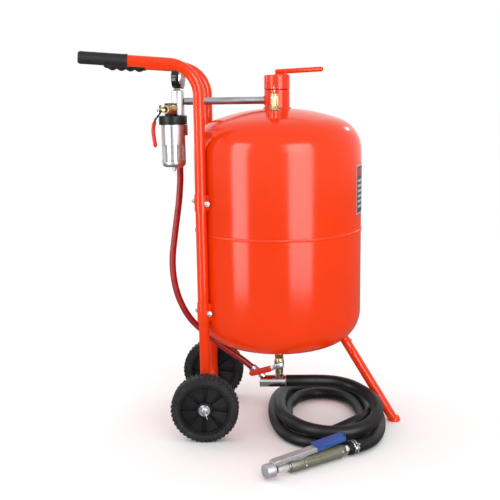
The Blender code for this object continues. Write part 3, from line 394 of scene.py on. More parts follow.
def swept(points, outer, sides=24, inner=0.0):
    """Round bar, or open tube with an inner radius, on a path; outer may be a radius per point."""
    bm = bmesh.new()
    points = [Vector(p) for p in points]
    layers = []
    for radius in filter(None, (outer, inner)):
        rings = []
        for index, (point, tangent, normal) in enumerate(path_frames(points)):
            side = tangent.cross(normal)
            size = radius[index] if isinstance(radius, (list, tuple)) else radius
            angles = [math.tau * k / sides for k in range(sides)]
            rings.append([bm.verts.new(point + (normal * math.cos(a) + side * math.sin(a)) * size)
                          for a in angles])
        for a, b in zip(rings, rings[1:]):
            bridge(bm, a, b)
        layers.append(rings)
    for end in (0, -1):
        if inner:
            bridge(bm, layers[0][end], layers[1][end])
        else:
            bm.faces.new(layers[0][end])
    return bm


def strap(points, side, width, thickness, bevel=0.0004):
    bm = bmesh.new()
    points = [Vector(p) for p in points]
    rings = []
    for i, point in enumerate(points):
        before = (point - points[i - 1]).normalized() if i else None
        after = (points[i + 1] - point).normalized() if i + 1 < len(points) else None
        tangent = ((before or after) + (after or before)).normalized()
        normal = side.cross(tangent)
        offset = normal * (thickness / 2 / max(0.5, tangent.dot(after or before)))
        rings.append([bm.verts.new(point + side * (s * width / 2) + offset * n)
                      for s, n in ((1, 1), (-1, 1), (-1, -1), (1, -1))])
    skin(bm, rings)
    bmesh.ops.recalc_face_normals(bm, faces=bm.faces)
    sharp = [e for e in bm.edges if len(e.link_faces) == 2 and e.calc_face_angle() > 0.9]
    bmesh.ops.bevel(bm, geom=sharp, offset=bevel, segments=3, affect='EDGES', profile=0.5,
                    clamp_overlap=True)
    return bm


def join(*parts):
    out = bmesh.new()
    for part in parts:
        mesh = bpy.data.meshes.new("part")
        part.to_mesh(mesh)
        part.free()
        out.from_mesh(mesh)
        bpy.data.meshes.remove(mesh)
    return out


def smooth_path(points, spacing):
    """Even points along a Catmull-Rom curve through given points."""
    points = [Vector(p) for p in points]
    padded = [2 * points[0] - points[1]] + points + [2 * points[-1] - points[-2]]
    dense = []
    for i in range(1, len(padded) - 2):
        p0, p1, p2, p3 = padded[i - 1:i + 3]
        for k in range(24):
            t = k / 24
            dense.append(0.5 * (2 * p1 + (p2 - p0) * t + (2 * p0 - 5 * p1 + 4 * p2 - p3) * t ** 2
                                + (3 * p1 - p0 - 3 * p2 + p3) * t ** 3))
    dense.append(points[-1])
    lengths = [0.0]
    for a, b in zip(dense, dense[1:]):
        lengths.append(lengths[-1] + (b - a).length)
    count = max(2, round(lengths[-1] / spacing))
    even, index = [], 0
    for k in range(count + 1):
        target = lengths[-1] * k / count
        while index < len(dense) - 2 and lengths[index + 1] < target:
            index += 1
        span = lengths[index + 1] - lengths[index]
        even.append(dense[index].lerp(dense[index + 1], (target - lengths[index]) / span))
    return even, lengths[-1]


def dress(obj, body, replaces):
    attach(obj, body)
    if replaces:
        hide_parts(*replaces)
    return obj


def add(name, bm, mat, body="pot", replaces=(), angle=32):
    """Make a piece from a mesh in vessel coordinates and let it ride on a body."""
    bmesh.ops.recalc_face_normals(bm, faces=bm.faces)
    bm.transform(TO_FRAME)
    mesh = bpy.data.meshes.new(name)
    bm.to_mesh(mesh)
    bm.free()
    mesh.shade_smooth()
    mesh.set_sharp_from_angle(angle=math.radians(angle))
    mesh.materials.append(mat)
    obj = bpy.data.objects.new(name, mesh)
    bpy.context.scene.collection.objects.link(obj)
    return dress(obj, body, replaces)


def cut(bm, *tools):
    """Take closed shapes out of a mesh, exactly."""
    bmesh.ops.recalc_face_normals(bm, faces=bm.faces)
    target = bpy.data.objects.new("cut_target", bpy.data.meshes.new("cut_target"))
    bm.to_mesh(target.data)
    bm.free()
    bpy.context.scene.collection.objects.link(target)
    helpers = []
    for tool in tools:
        bmesh.ops.recalc_face_normals(tool, faces=tool.faces)
        helper = bpy.data.objects.new("cutter", bpy.data.meshes.new("cutter"))
        tool.to_mesh(helper.data)
        tool.free()
        bpy.context.scene.collection.objects.link(helper)
        modifier = target.modifiers.new("cut", 'BOOLEAN')
        modifier.operation, modifier.solver, modifier.object = 'DIFFERENCE', 'EXACT', helper
        helpers.append(helper)
    evaluated = target.evaluated_get(bpy.context.evaluated_depsgraph_get())
    result = bmesh.new()
    result.from_mesh(evaluated.to_mesh())
    evaluated.to_mesh_clear()
    for obj in (target, *helpers):
        mesh = obj.data
        bpy.data.objects.remove(obj)
        bpy.data.meshes.remove(mesh)
    return result


def weld_bead(point_at, count, size, seed, sides=8):
    """Ripple of weld on a closed line; point_at(angle) gives (place, outward, along surface)."""
    bm = bmesh.new()
    rings = []
    for k in range(count):
        angle = math.tau * k / count
        place, out, flat = point_at(angle)
        lump = noise.noise(Vector((math.cos(angle) * 9, math.sin(angle) * 9, seed)))
        ripple = 0.5 + 0.5 * math.cos(math.pi * (k % 4) / 2)
        tall = size * (0.55 + 0.18 * ripple + 0.35 * lump)
        wide = size * (1.25 + 0.25 * lump)
        rings.append([bm.verts.new(place + out * (tall * math.sin(a)) + flat * (wide * math.cos(a)))
                      for a in (math.tau * j / sides for j in range(sides))])
    for k in range(count):
        bridge(bm, rings[k], rings[(k + 1) % count])
    return bm


# ---------------------------------------------------------------- hoses

AIR_ROUTE = [
    (-0.2385, 0.029, 0.6327), (-0.2387, 0.0289, 0.602), (-0.243, 0.027, 0.553),
    (-0.25, 0.024, 0.503),
    (-0.257, 0.02, 0.454), (-0.262, 0.015, 0.405), (-0.259, 0.01, 0.355), (-0.246, 0.006, 0.305),
    (-0.218, 0.002, 0.255), (-0.168, 0.0, 0.208), (-0.131, 0.0, 0.179), (-0.096, 0.0, 0.1546),
    (-0.069, 0.0, 0.132),
]
AIR_END = Vector(AIR_ROUTE[-1])
AIR_DROP = Vector((math.cos(math.radians(40)), 0, -math.sin(math.radians(40))))
BLAST_ROUTE = [
    (0.063, 0.0, 0.0955), (0.1, 0.004, 0.094), (0.14, 0.006, 0.0905), (0.178, -0.006, 0.085),
    (0.206, -0.034, 0.079), (0.225, -0.072, 0.0745), (0.232, -0.112, 0.069), (0.224, -0.153, 0.059),
    (0.198, -0.188, 0.051), (0.16, -0.209, 0.0465), (0.122, -0.213, 0.0465),
    (0.087, -0.204, 0.0465),
    (0.054, -0.181, 0.0465), (0.027, -0.144, 0.0465), (0.009, -0.098, 0.0445),
    (0.002, -0.045, 0.042),
    (0.002, 0.005, 0.041), (0.005, 0.042, 0.04), (0.012, 0.076, 0.0385), (0.024, 0.108, 0.0335),
    (0.043, 0.137, 0.023), (0.072, 0.157, 0.016), (0.107, 0.164, 0.0152), (0.141, 0.158, 0.016),
    (0.174, 0.135, 0.029), (0.199, 0.101, 0.036), (0.214, 0.062, 0.038), (0.222, 0.017, 0.0385),
    (0.225, -0.033, 0.039), (0.22, -0.081, 0.043), (0.205, -0.121, 0.047), (0.18, -0.148, 0.046),
    (0.151, -0.162, 0.038), (0.121, -0.165, 0.0265), (0.091, -0.162, 0.017),
    (0.063, -0.148, 0.0152),
    (0.042, -0.127, 0.0152), (0.0292, -0.098, 0.0152), (0.0195, -0.055, 0.0152),
    (0.0186, -0.01, 0.0152),
    (0.0208, 0.034, 0.0152), (0.033, 0.068, 0.0152), (0.044, 0.093, 0.0152), (0.064, 0.114, 0.0152),
    (0.09, 0.127, 0.0152), (0.116, 0.13, 0.0152), (0.144, 0.123, 0.0152), (0.168, 0.106, 0.0152),
    (0.186, 0.082, 0.0152), (0.197, 0.05, 0.0152), (0.203, 0.015, 0.0152), (0.206, -0.025, 0.0152),
    (0.206, -0.07, 0.0152), (0.203, -0.105, 0.0152), (0.192, -0.14, 0.0152),
    (0.172, -0.169, 0.0152),
    (0.143, -0.19, 0.0152), (0.104, -0.199, 0.0152), (0.067, -0.193, 0.0152),
    (0.035, -0.173, 0.0152),
    (0.012, -0.142, 0.0152), (-0.002, -0.1, 0.0152), (-0.011, -0.05, 0.0152),
    (-0.014, 0.005, 0.0152),
    (-0.012, 0.06, 0.0152), (-0.004, 0.108, 0.0152), (0.014, 0.149, 0.0152), (0.043, 0.18, 0.0152),
    (0.08, 0.196, 0.0152), (0.12, 0.197, 0.0152), (0.16, 0.182, 0.0152), (0.195, 0.153, 0.0152),
    (0.22, 0.114, 0.0152), (0.236, 0.067, 0.0152), (0.243, 0.015, 0.0152), (0.245, -0.04, 0.0152),
    (0.241, -0.093, 0.0152), (0.231, -0.141, 0.0152), (0.213, -0.183, 0.0155),
]
HOSE_START = TEE + X * 0.0333
HOSE_END = NOZZLE + BACK * 0.1625


def make_hose(name, route, radius, spacing, mat, node):
    curve = bpy.data.curves.new(name, 'CURVE')
    curve.dimensions = '3D'
    curve.bevel_depth = radius
    curve.bevel_resolution = 8
    curve.use_fill_caps = True
    points, length = smooth_path(route, spacing)
    spline = curve.splines.new('POLY')
    spline.points.add(len(points) - 1)
    for spot, point in zip(spline.points, points):
        spot.co = (*(point + X * AXIS_X), 1.0)
    spline.use_smooth = True
    curve.materials.append(mat)
    obj = bpy.data.objects.new(name, curve)
    bpy.context.scene.collection.objects.link(obj)
    return dress(obj, "pot", [node]), length


def make_hoses():
    air, air_length = make_hose("air_hose_tube", AIR_ROUTE, 0.008, 0.01, RED_HOSE,
                                "air_hose")
    crimp = join(ring(0.005, 0.0106, 0.0003, 0.0165, segments=40),
                 *[torus(0.0104, 0.0007, at(0, 0, h), 40, 8) for h in (0.004, 0.008, 0.012)])
    crimp.transform(along(AIR_DROP, AIR_END))
    crimp = add("air_hose_crimp", crimp, ZINC, replaces=["air_hose_clamp"])
    route = [HOSE_START] + [Vector(p) for p in BLAST_ROUTE] + [HOSE_END + BACK * 0.045, HOSE_END]
    blast, blast_length = make_hose("blast_hose_tube", route, 0.0148, 0.012, HOSE_RUBBER,
                                    "blast_hose")
    spot = along(BACK, HOSE_END + BACK * 0.014)
    wires = [torus(0.0162, 0.0014, spot @ at(0, 0, h), 48, 10) for h in (-0.0035, 0.0035)]
    ear = Vector((0.01, -0.016, 0.005))
    bolt = HOSE_END + BACK * 0.014 + ear
    wires.append(block((0.006, 0.005, 0.011), along(BACK, bolt), 0.0008))
    wires.append(rod(0.0016, -0.01, 0.01, along(Z, bolt + Vector((0.002, -0.002, 0))), 16))
    wires.append(hexagon(0.007, 0.0085, 0.012, along(Z, bolt + Vector((0.002, -0.002, 0)))))
    clamp = add("wire_clamp", join(*wires), ZINC, replaces=["blast_hose_clamp"])
    back = along(BACK, NOZZLE)
    nipple = join(hexagon(0.0205, 0.1503, 0.1585, back), rod(0.0095, 0.158, 0.1622, back, 32))
    nipple = add("hose_coupling", nipple, ZINC, replaces=["nozzle_nipple"])


# ---------------------------------------------------------------- vessel

def head_profile(offset, hole_r, steps):
    crown, knuckle = CROWN_R + offset, KNUCKLE_R + offset
    centre_r = TANK_R - KNUCKLE_R
    drop = math.sqrt((CROWN_R - KNUCKLE_R) ** 2 - centre_r ** 2)
    meet = math.atan2(centre_r, drop)
    points = []
    for k in range(steps + 1):
        angle = (math.pi / 2 - meet) * k / steps
        points.append((centre_r + knuckle * math.cos(angle), knuckle * math.sin(angle)))
    last = math.asin(hole_r / crown)
    for k in range(1, steps + 1):
        angle = meet + (last - meet) * k / steps
        points.append((crown * math.sin(angle), crown * math.cos(angle) - drop))
    return points


def dome_height(radius):
    drop = math.sqrt((CROWN_R - KNUCKLE_R) ** 2 - (TANK_R - KNUCKLE_R) ** 2)
    return TANK_HIGH_Z + math.sqrt(CROWN_R ** 2 - radius ** 2) - drop


def make_vessel():
    inner = TANK_R - TANK_WALL
    for name, node, hole, level, sign in (("vessel_upper", "upper_shell", NECK_R, TANK_HIGH_Z, 1),
                                          ("vessel_lower", "lower_shell", 0.0108, TANK_LOW_Z, -1)):
        outside = [(r, level + sign * h) for r, h in head_profile(0, hole, 14)]
        inside = [(r, level + sign * h) for r, h in head_profile(-TANK_WALL, hole, 8)]
        lip = SEAM_Z + sign * 0.0003
        profile = [(TANK_R - 0.0006, lip),
                   (TANK_R, lip + sign * 0.0008)] + outside + inside[::-1] + [(inner, lip)]
        add(name, turned(profile, 144), PAINT, replaces=[node])

    def belly(angle):
        out = polar(angle)
        wander = 0.0004 * noise.noise(out * 6)
        return out * TANK_R + Z * (SEAM_Z + wander), out, Z

    add("belly_weld", weld_bead(belly, 1440, 0.0028, 3.0), PAINT)

    def neck(angle):
        out = polar(angle)
        place = out * 0.0312 + Z * (dome_height(0.031) + 0.0006)
        return place, (out + Z).normalized(), (out - Z).normalized()

    add("neck_weld", weld_bead(neck, 240, 0.0026, 8.0), PAINT)
    low, top = 0.7655, 0.815
    add("filler_neck_tube", ring(NECK_BORE_R, NECK_R, low, top, segments=96, chamfer=0.0006), PAINT,
        replaces=["filler_neck"])
    spot = at(RELIEF_X, RELIEF_Y, 0)
    add("relief_socket", rod(0.012, dome_height(0.137) - 0.001, 0.7695, spot, 64, 0.001), PAINT,
        replaces=["relief_boss"])

    def boss(angle):
        out = polar(angle)
        place = Vector((RELIEF_X, RELIEF_Y, 0)) + out * 0.0124
        place += Z * (dome_height(place.to_2d().length) + 0.0004)
        return place, (out + Z).normalized(), (out - Z).normalized()

    add("socket_weld", weld_bead(boss, 120, 0.0018, 5.0), PAINT)


def make_cap():
    rim, low, top, stub = 0.0305, 0.817, 0.85, 0.0256
    cap = [(0, 0.808), (stub, 0.808), (stub, low), (rim - 0.001, low), (rim, low + 0.001),
           (rim, top - 0.0022), (rim - 0.0006, top - 0.0009), (rim - 0.0022, top), (0, top)]
    add("cap_body", turned(cap, 96), PAINT, "cap", ["filler_cap"])
    start, end = Vector((-0.004, 0, 0.857)), Vector((0.1095, 0, 0.8622))
    length = (end - start).length
    r = 0.0058
    bar = [(0, 0), (r - 0.0012, 0), (r, 0.0012)]
    bar += [(r, length - r)]
    bar += [(r * math.cos(a), length - r + r * math.sin(a)) for a in (0.5, 0.95, 1.3)]
    bar += [(0, length)]
    welds = []
    for side in (-1, 1):
        line = [Vector((0.024 - 0.028 * k / 24, side * (0.0046 + 0.0007 * math.sin(k * 2.4)),
                        0.8495 + 0.0004 *
                        math.sin(k * 1.7))) for k in range(25)]
        sizes = [0.0022 + 0.0006 * math.sin(k * 2.4) for k in range(25)]
        welds.append(swept(line, sizes, 10))
    root = block((0.028, 0.0085, 0.0075), at(0.0105, 0, 0.8519), 0.0012)
    add("cap_turning_bar",
        join(turned(bar, 40, along((end - start).normalized(), start)), root, *welds), PAINT,
        "cap", ["cap_handle"])


def make_relief_valve():
    x, y = RELIEF_X, RELIEF_Y
    spot = at(x, y, 0)
    body = [(0, 0.7798), (0.0078, 0.7798), (0.0078, 0.7812), (0.007, 0.7818), (0.007, 0.8012),
            (0.0082, 0.8018),
            (0.0086, 0.803), (0.0082, 0.8052), (0.006, 0.8072), (0.0032, 0.8082), (0, 0.8085)]
    rib = [block((0.0026, 0.003, 0.0215),
                 at(x + 0.0074 * math.cos(a), y + 0.0074 * math.sin(a), 0.7915), 0.0006)
           for a in (k * math.tau / 6 + 0.35 for k in range(6))]
    parts = [hexagon(0.018, 0.7698, 0.78, spot), turned(body, 48, spot), *rib]
    add("relief_valve_body", join(*parts), BRASS, replaces=["relief_valve"])
    pin = join(rod(0.0034, -0.0014, 0.0036, along(Y, (x - 0.005, y - 0.0094, 0.7975)), 32),
               rod(0.0011, -0.004, 0.002, along(Y, (x - 0.0015, y - 0.008, 0.793)), 16))
    add("relief_valve_pin", pin, ZINC)
    centre = Vector((x, y, 0.819))
    pull = join(torus(0.0044, 0.001, along(Vector((0.97, -0.25, 0)), centre), 40, 10),
                rod(0.0015, 0.8088, centre.z - 0.0036, spot, 20))
    add("relief_pull_ring", pull, BRASS, "relief_ring", ["relief_pull"])


# ---------------------------------------------------------------- air line

def make_gauge():
    face = polar(GAUGE_TURN)
    spot = along(face, GAUGE)
    r, half, rim = 0.0235, 0.0125, 0.0205
    case = [(0, -half), (r - 0.0035, -half), (r - 0.001, -half + 0.0008), (r, -half + 0.003),
            (r, half - 0.0053),
            (rim, half - 0.0053), (rim, -half + 0.012), (0, -half + 0.012)]
    add("gauge_drum", turned(case, 72, spot), GLOSS_BLACK, replaces=["gauge_case"])
    back = -half + 0.0123
    dial = back + 0.0012
    add("gauge_dial_plate", rod(rim - 0.0003, back, dial, spot, 64, 0.0002), WHITE,
        replaces=["gauge_dial"])
    bezel = [(0.019, half - 0.005), (r + 0.0008, half - 0.005), (r + 0.001, half - 0.0042),
             (r + 0.001, half - 0.0018), (r + 0.0004, half - 0.0006), (r - 0.001, half),
             (0.02, half - 0.0004),
             (0.019, half - 0.0014)]
    add("gauge_bezel_ring", turned(bezel, 72, spot), CHROME, replaces=["gauge_bezel"])
    lens = [(0, half - 0.004), (0.0186, half - 0.004), (0.0186, half - 0.0024),
            (0.012, half - 0.0017),
            (0, half - 0.0014)]
    add("gauge_lens_glass", turned(lens, 64, spot), GLASS, replaces=["gauge_lens"])
    # The dial faces +Z of the spot frame; up is the world's +Z seen in that frame.
    up = (spot.to_3x3().inverted() @ Z).normalized()
    right = up.cross(Z)
    marks = []
    for k in range(51):
        angle = math.radians(225 - 270 * k / 50)
        major = k % 10 == 0
        out = right * math.cos(angle) + up * math.sin(angle)
        turn = Matrix((out, Z.cross(out), Z)).transposed().to_4x4()
        size = (0.0034, 0.0007, 0.0002) if major else (0.0018, 0.0003, 0.0002)
        place = out * (0.0178 - size[0] / 2) + Z * (dial + 0.0002)
        marks.append(block(size, spot @ Matrix.Translation(place) @ turn, 0.00005))
        if major:
            marks.append(numeral(str(4 * k), spot, out * 0.0118 + Z * (dial + 0.0001), right, up))
    add("gauge_dial_marks", join(*marks), INK)
    outline = [(-0.001, -0.005), (0.001, -0.005), (0.0008, 0.0), (0.0002, 0.015), (-0.0002, 0.015),
               (-0.0008, 0.0)]
    zero = math.radians(225)
    out = right * math.cos(zero) + up * math.sin(zero)
    turn = Matrix((Z.cross(out), -out, Z)).transposed().to_4x4()
    flip = Matrix.Rotation(math.pi, 4, 'Z')
    needle = join(prism(outline, 0.0005, spot @ at(0, 0, dial + 0.0012) @ turn @ flip, 0.0001),
                  rod(0.002, dial + 0.0006, dial + 0.0022, spot, 32, 0.0003))
    add("gauge_pointer", needle, INK, "needle", ["gauge_needle"])
    stem = join(hexagon(0.016, 0.8177, 0.8203, at(GAUGE_STEM_X, 0, 0)),
                rod(0.006, 0.82, 0.8212, at(GAUGE_STEM_X, 0, 0)))
    add("gauge_nut", stem, BRASS, replaces=["gauge_stem"])


def numeral(text, spot, place, right, up):
    """Flat dial figure as a thin closed mesh."""
    curve = bpy.data.curves.new("figure", 'FONT')
    curve.body = text
    curve.size = 0.0042
    curve.extrude = 0.0001
    curve.align_x, curve.align_y = 'CENTER', 'CENTER'
    obj = bpy.data.objects.new("figure", curve)
    bpy.context.scene.collection.objects.link(obj)
    evaluated = obj.evaluated_get(bpy.context.evaluated_depsgraph_get())
    bm = bmesh.new()
    bm.from_mesh(evaluated.to_mesh())
    evaluated.to_mesh_clear()
    bpy.data.objects.remove(obj)
    bpy.data.curves.remove(curve)
    bmesh.ops.remove_doubles(bm, verts=bm.verts, dist=1e-6)
    turn = Matrix((right, up, Z)).transposed().to_4x4()
    bm.transform(spot @ Matrix.Translation(place) @ turn)
    return bm


def make_air_line():
    start = MANIFOLD_X + 0.0154
    length = -(NECK_R - 0.0018) - start
    spot = along(X, (start, 0, PIPE_Z))
    pipe = join(ring(0.006, 0.0086, 0.0042, length, spot, 48),
                ring(0.006, 0.008, 0.0, 0.0045, spot, 48))
    add("cross_pipe_tube", pipe, GALVANISED, replaces=["cross_pipe"])

    def neck_joint(angle):
        out = Vector((0, math.cos(angle), math.sin(angle)))
        bulge = math.sqrt(NECK_R ** 2 - (0.0086 * math.cos(angle)) ** 2)
        return Vector((-bulge - 0.0006, 0,
                       PIPE_Z)) + out * 0.0092, (out - X).normalized(), (out + X).normalized()

    add("pipe_weld", weld_bead(neck_joint, 120, 0.0014, 2.0), PAINT)
    low, top, r = 0.7597, 0.8172, 0.0151
    body = [(0, low), (r - 0.0008, low), (r, low + 0.0008), (r, top - 0.0024),
            (r - 0.0008, top - 0.0008),
            (r - 0.0026, top), (0, top)]
    add("manifold_body", turned(body, 64, at(MANIFOLD_X, 0, 0)), SATIN,
        replaces=["air_manifold"])
    base = Vector((MANIFOLD_X, 0, 0.801))
    out = Vector((DROP_X - MANIFOLD_X, DROP_Y, 0))
    reach, out = out.length, out.normalized()
    bend = [base + out * (r + 0.0006), base + out * (reach - 0.008)]
    for k in range(1, 9):
        a = math.pi / 2 * k / 8
        bend.append(base + out * (reach - 0.008 + 0.008 * math.sin(a))
                    - Z * (0.008 * (1 - math.cos(a))))
    foot = Vector((DROP_X, DROP_Y, 0.6583))
    add("outlet_pipe", swept(bend + [foot], 0.0062, 32, 0.0042), CHROME,
        replaces=["drop_pipe"])
    ferrule = join(ring(0.0042, 0.0096, 0.6333, 0.648, segments=40),
                   hexagon(0.018, 0.6475, 0.658, bore=0.007))
    ferrule.transform(at(DROP_X, DROP_Y, 0))
    add("outlet_ferrule", ferrule, ZINC, replaces=["hose_ferrule"])


def make_filter():
    spot = at(*FILTER)
    head = block((0.0289, 0.0218, 0.0285), at(-0.24895, -0.0266, 0.77375), 0.0022)
    add("filter_head_body", head, GLOSS_BLACK, replaces=["filter_head"])
    r, low, high = 0.0335, 0.738, 0.759
    collar = [(0, high), (r - 0.0025, high), (r - 0.0006, high - 0.0008), (r, high - 0.0025),
              (r, low + 0.006),
              (r - 0.0006, low + 0.0055), (r - 0.0006, low + 0.0045), (r, low + 0.004),
              (r, low + 0.0006),
              (r - 0.0006, low), (0.0288, low), (0.0288, high - 0.006), (0, high - 0.006)]
    add("filter_collar_ring", turned(collar, 72, spot), BLACK,
        replaces=["filter_collar"])
    add("bowl_guard_shell", guard_shell(spot), SATIN, "bowl", ["bowl_guard"])
    top, floor = 0.7527, 0.6407
    outer, hole = 0.0262, 0.0046
    bowl = [(outer, top - 0.001), (outer, floor + 0.0145), (outer - 0.002, floor + 0.008),
            (outer - 0.008, floor + 0.002), (hole, floor + 0.001), (hole, floor + 0.003),
            (outer - 0.01, floor + 0.004), (outer - 0.004, floor + 0.0095),
            (outer - 0.002, floor + 0.015),
            (outer - 0.002, top - 0.001)]
    add("clear_bowl_cup", turned(bowl, 64, spot), CLEAR, "bowl", ["filter_bowl"])
    pleats = [(0.008, 0.676), (0.0124, 0.676)]
    pleats += [(0.013 - 0.0008 * (k % 2), 0.678 + 0.0036 * k) for k in range(20)]
    pleats += [(0.0124, 0.7515), (0.008, 0.7515)]
    add("filter_element_core", turned(pleats, 48, spot), WHITE, "bowl",
        ["filter_element"])
    place = Vector((FILTER.x + 0.0312, FILTER.y, 0.7245))
    latch = join(block((0.0058, 0.011, 0.025), at(*place), 0.0016),
                 *[block((0.0012, 0.009, 0.001), at(place.x + 0.0028, place.y, 0.717 + 0.003 * k),
                         0.0003)
                   for k in range(4)])
    add("latch_slide_button", latch, RED, "latch", ["latch_button"])
    drain = [(0, 0.648), (0.004, 0.6487), (0.004, 0.6382), (0.006, 0.6382), (0.006, 0.634),
             (0.005, 0.633),
             (0.005, 0.6316), (0.0034, 0.63), (0.003, 0.628), (0, 0.628)]
    knurls = []
    for k in range(16):
        a = k * math.tau / 16
        place = at(FILTER.x + 0.0058 * math.cos(a), FILTER.y + 0.0058 * math.sin(a), 0.636)
        knurls.append(block((0.0012, 0.0012, 0.0042), place, 0.0003))
    add("drain_knob", join(turned(drain, 32, spot), *knurls), ZINC, "drain",
        ["drain_cock"])


def guard_shell(spot):
    """Thin metal cup with a row of tall slots and a few upper windows."""
    outer, wall = 0.028, 0.0012
    heights = [0.7527, 0.745, 0.7345, 0.7333, 0.6955, 0.6943, 0.6914, 0.6902, 0.656, 0.653, 0.6514,
               0.649]
    cup = [(0.0276, 0.6452), (0.0262, 0.642), (0.0238, 0.6396), (0.0205, 0.6386), (0.012, 0.6385),
           (0.0046, 0.6385)]
    rows = [(outer, h) for h in heights] + cup
    count = 120
    bm = bmesh.new()
    loops = [[bm.verts.new(polar(math.tau * k / count, r, h)) for k in range(count)] for r,
             h in rows]
    front = count * 3 // 4
    windows = {(front + 10 * s + k) % count: abs(k + 0.5) > 2 for s in range(12) for k in range(-3,
                                                                                                2)}
    slits = {(front + 30 * s + k) % count for s in range(4) for k in (-2, -1, 0)}
    for i, (a, b) in enumerate(zip(loops, loops[1:])):
        for k in range(count):
            if 3 <= i <= 5 and k in slits:
                continue
            if 7 <= i <= 8 and k in windows or i in (6, 9) and not windows.get(k, True):
                continue
            j = (k + 1) % count
            bm.faces.new((a[k], b[k], b[j], a[j]))
    bmesh.ops.recalc_face_normals(bm, faces=bm.faces)
    bmesh.ops.solidify(bm, geom=list(bm.faces), thickness=wall)
    bm.transform(spot)
    return bm


# ---------------------------------------------------------------- valves and tee

def valve_lever(path, across, width, grip_start, grip_width, grip_thick):
    """Steel lever with eased edges, and the vinyl grip dipped over its end."""
    steel = strap(path, across, width, 0.0024, 0.0006)
    first = (path[grip_start + 1] - path[grip_start]).normalized()
    last = (path[-1] - path[-2]).normalized()
    covered = [path[grip_start] + first * 0.004, *path[grip_start + 1:-1], path[-1] + last * 0.003]
    return steel, dipped(covered, across, grip_width, grip_thick)


def dipped(path, across, width, thick):
    """Vinyl sleeve of oval section, drawn round at its end."""
    points, length = smooth_path(path, 0.0015)
    bm = bmesh.new()
    rings = []
    for i, (point, tangent, _) in enumerate(path_frames(points)):
        left = length * (1 - i / (len(points) - 1))
        close = math.sqrt(max(0.0, 1 - (1 - min(1.0, left / (width * 0.55))) ** 2))
        lip = 0.86 if i == 0 else 1.0
        normal = across.cross(tangent).normalized()
        wide, tall = width / 2 * max(0.12, close) * lip, thick / 2 * max(0.25, close ** 0.5) * lip
        rings.append([bm.verts.new(point + across * (wide * rounded(math.cos(a)))
                                   + normal * (tall * rounded(math.sin(a))))
                      for a in (math.tau * k / 32 for k in range(32))])
    skin(bm, rings)
    return bm


def rounded(value):
    return math.copysign(abs(value) ** 0.7, value)


def make_inlet_valve():
    turn = math.radians(30)
    flow = Vector((-math.sin(turn), -math.cos(turn), 0))
    stem = Vector((-math.cos(turn), math.sin(turn), 0))
    spot = Matrix((stem, flow.cross(stem), flow)).transposed().to_4x4()
    spot.translation = Vector((-0.237, -0.0385, 0.7735)) + flow * 0.0235
    side = spot @ along(X)
    bore = 0.0062
    barrel = [(bore, -0.005), (0.0108, -0.005), (0.0116, -0.003), (0.012, 0.0), (0.0116, 0.0035),
              (0.0104, 0.0062), (0.0102, 0.0075), (bore, 0.0075)]
    port = [(0.0074, 0.016)] + [(bore + 0.0006 * (k % 2),
                                 0.0155 - 0.0008 * k) for k in range(11)] + [
        (bore, 0.0068), (0.01, 0.0068), (0.0107, 0.0075), (0.0107, 0.0095), (0.0098, 0.01),
        (0.0098, 0.015),
        (0.009, 0.0165), (0.0078, 0.0165)]
    body = join(thread(0.0072, -0.0195, -0.015, spot),
                hexagon(0.0215, -0.0152, -0.0045, spot, bore),
                turned(barrel, 48, spot), turned(port, 64, spot),
                ring(0.0037, 0.0066, 0.01, 0.019, side, 32),
                hexagon(0.012, 0.0188, 0.0235, side, 0.0037))
    add("inlet_valve_brass", body, BRASS, replaces=["inlet_valve_body"])
    path = [spot @ Vector((a, b, 0)) for a, b in ((0.029, -0.0105), (0.029, 0.0065), (0.035, 0.013),
                                                  (0.045, 0.0235), (0.05, 0.05), (0.045, 0.085))]
    across = (spot.to_3x3() @ X.cross(Y)).normalized()
    steel, grip = valve_lever(path, across, 0.01, 3, 0.0126, 0.0052)
    parts = join(steel, rod(0.0034, 0.009, 0.0345, side, 24), hexagon(0.011, 0.0303, 0.0338, side),
                 rod(0.0066, 0.0274, 0.0279, side, 32, 0.0001))
    add("inlet_lever", parts, ZINC, "inlet_handle", ["inlet_valve_lever"])
    add("inlet_lever_grip", grip, ORANGE_VINYL, "inlet_handle", ["inlet_valve_grip"])


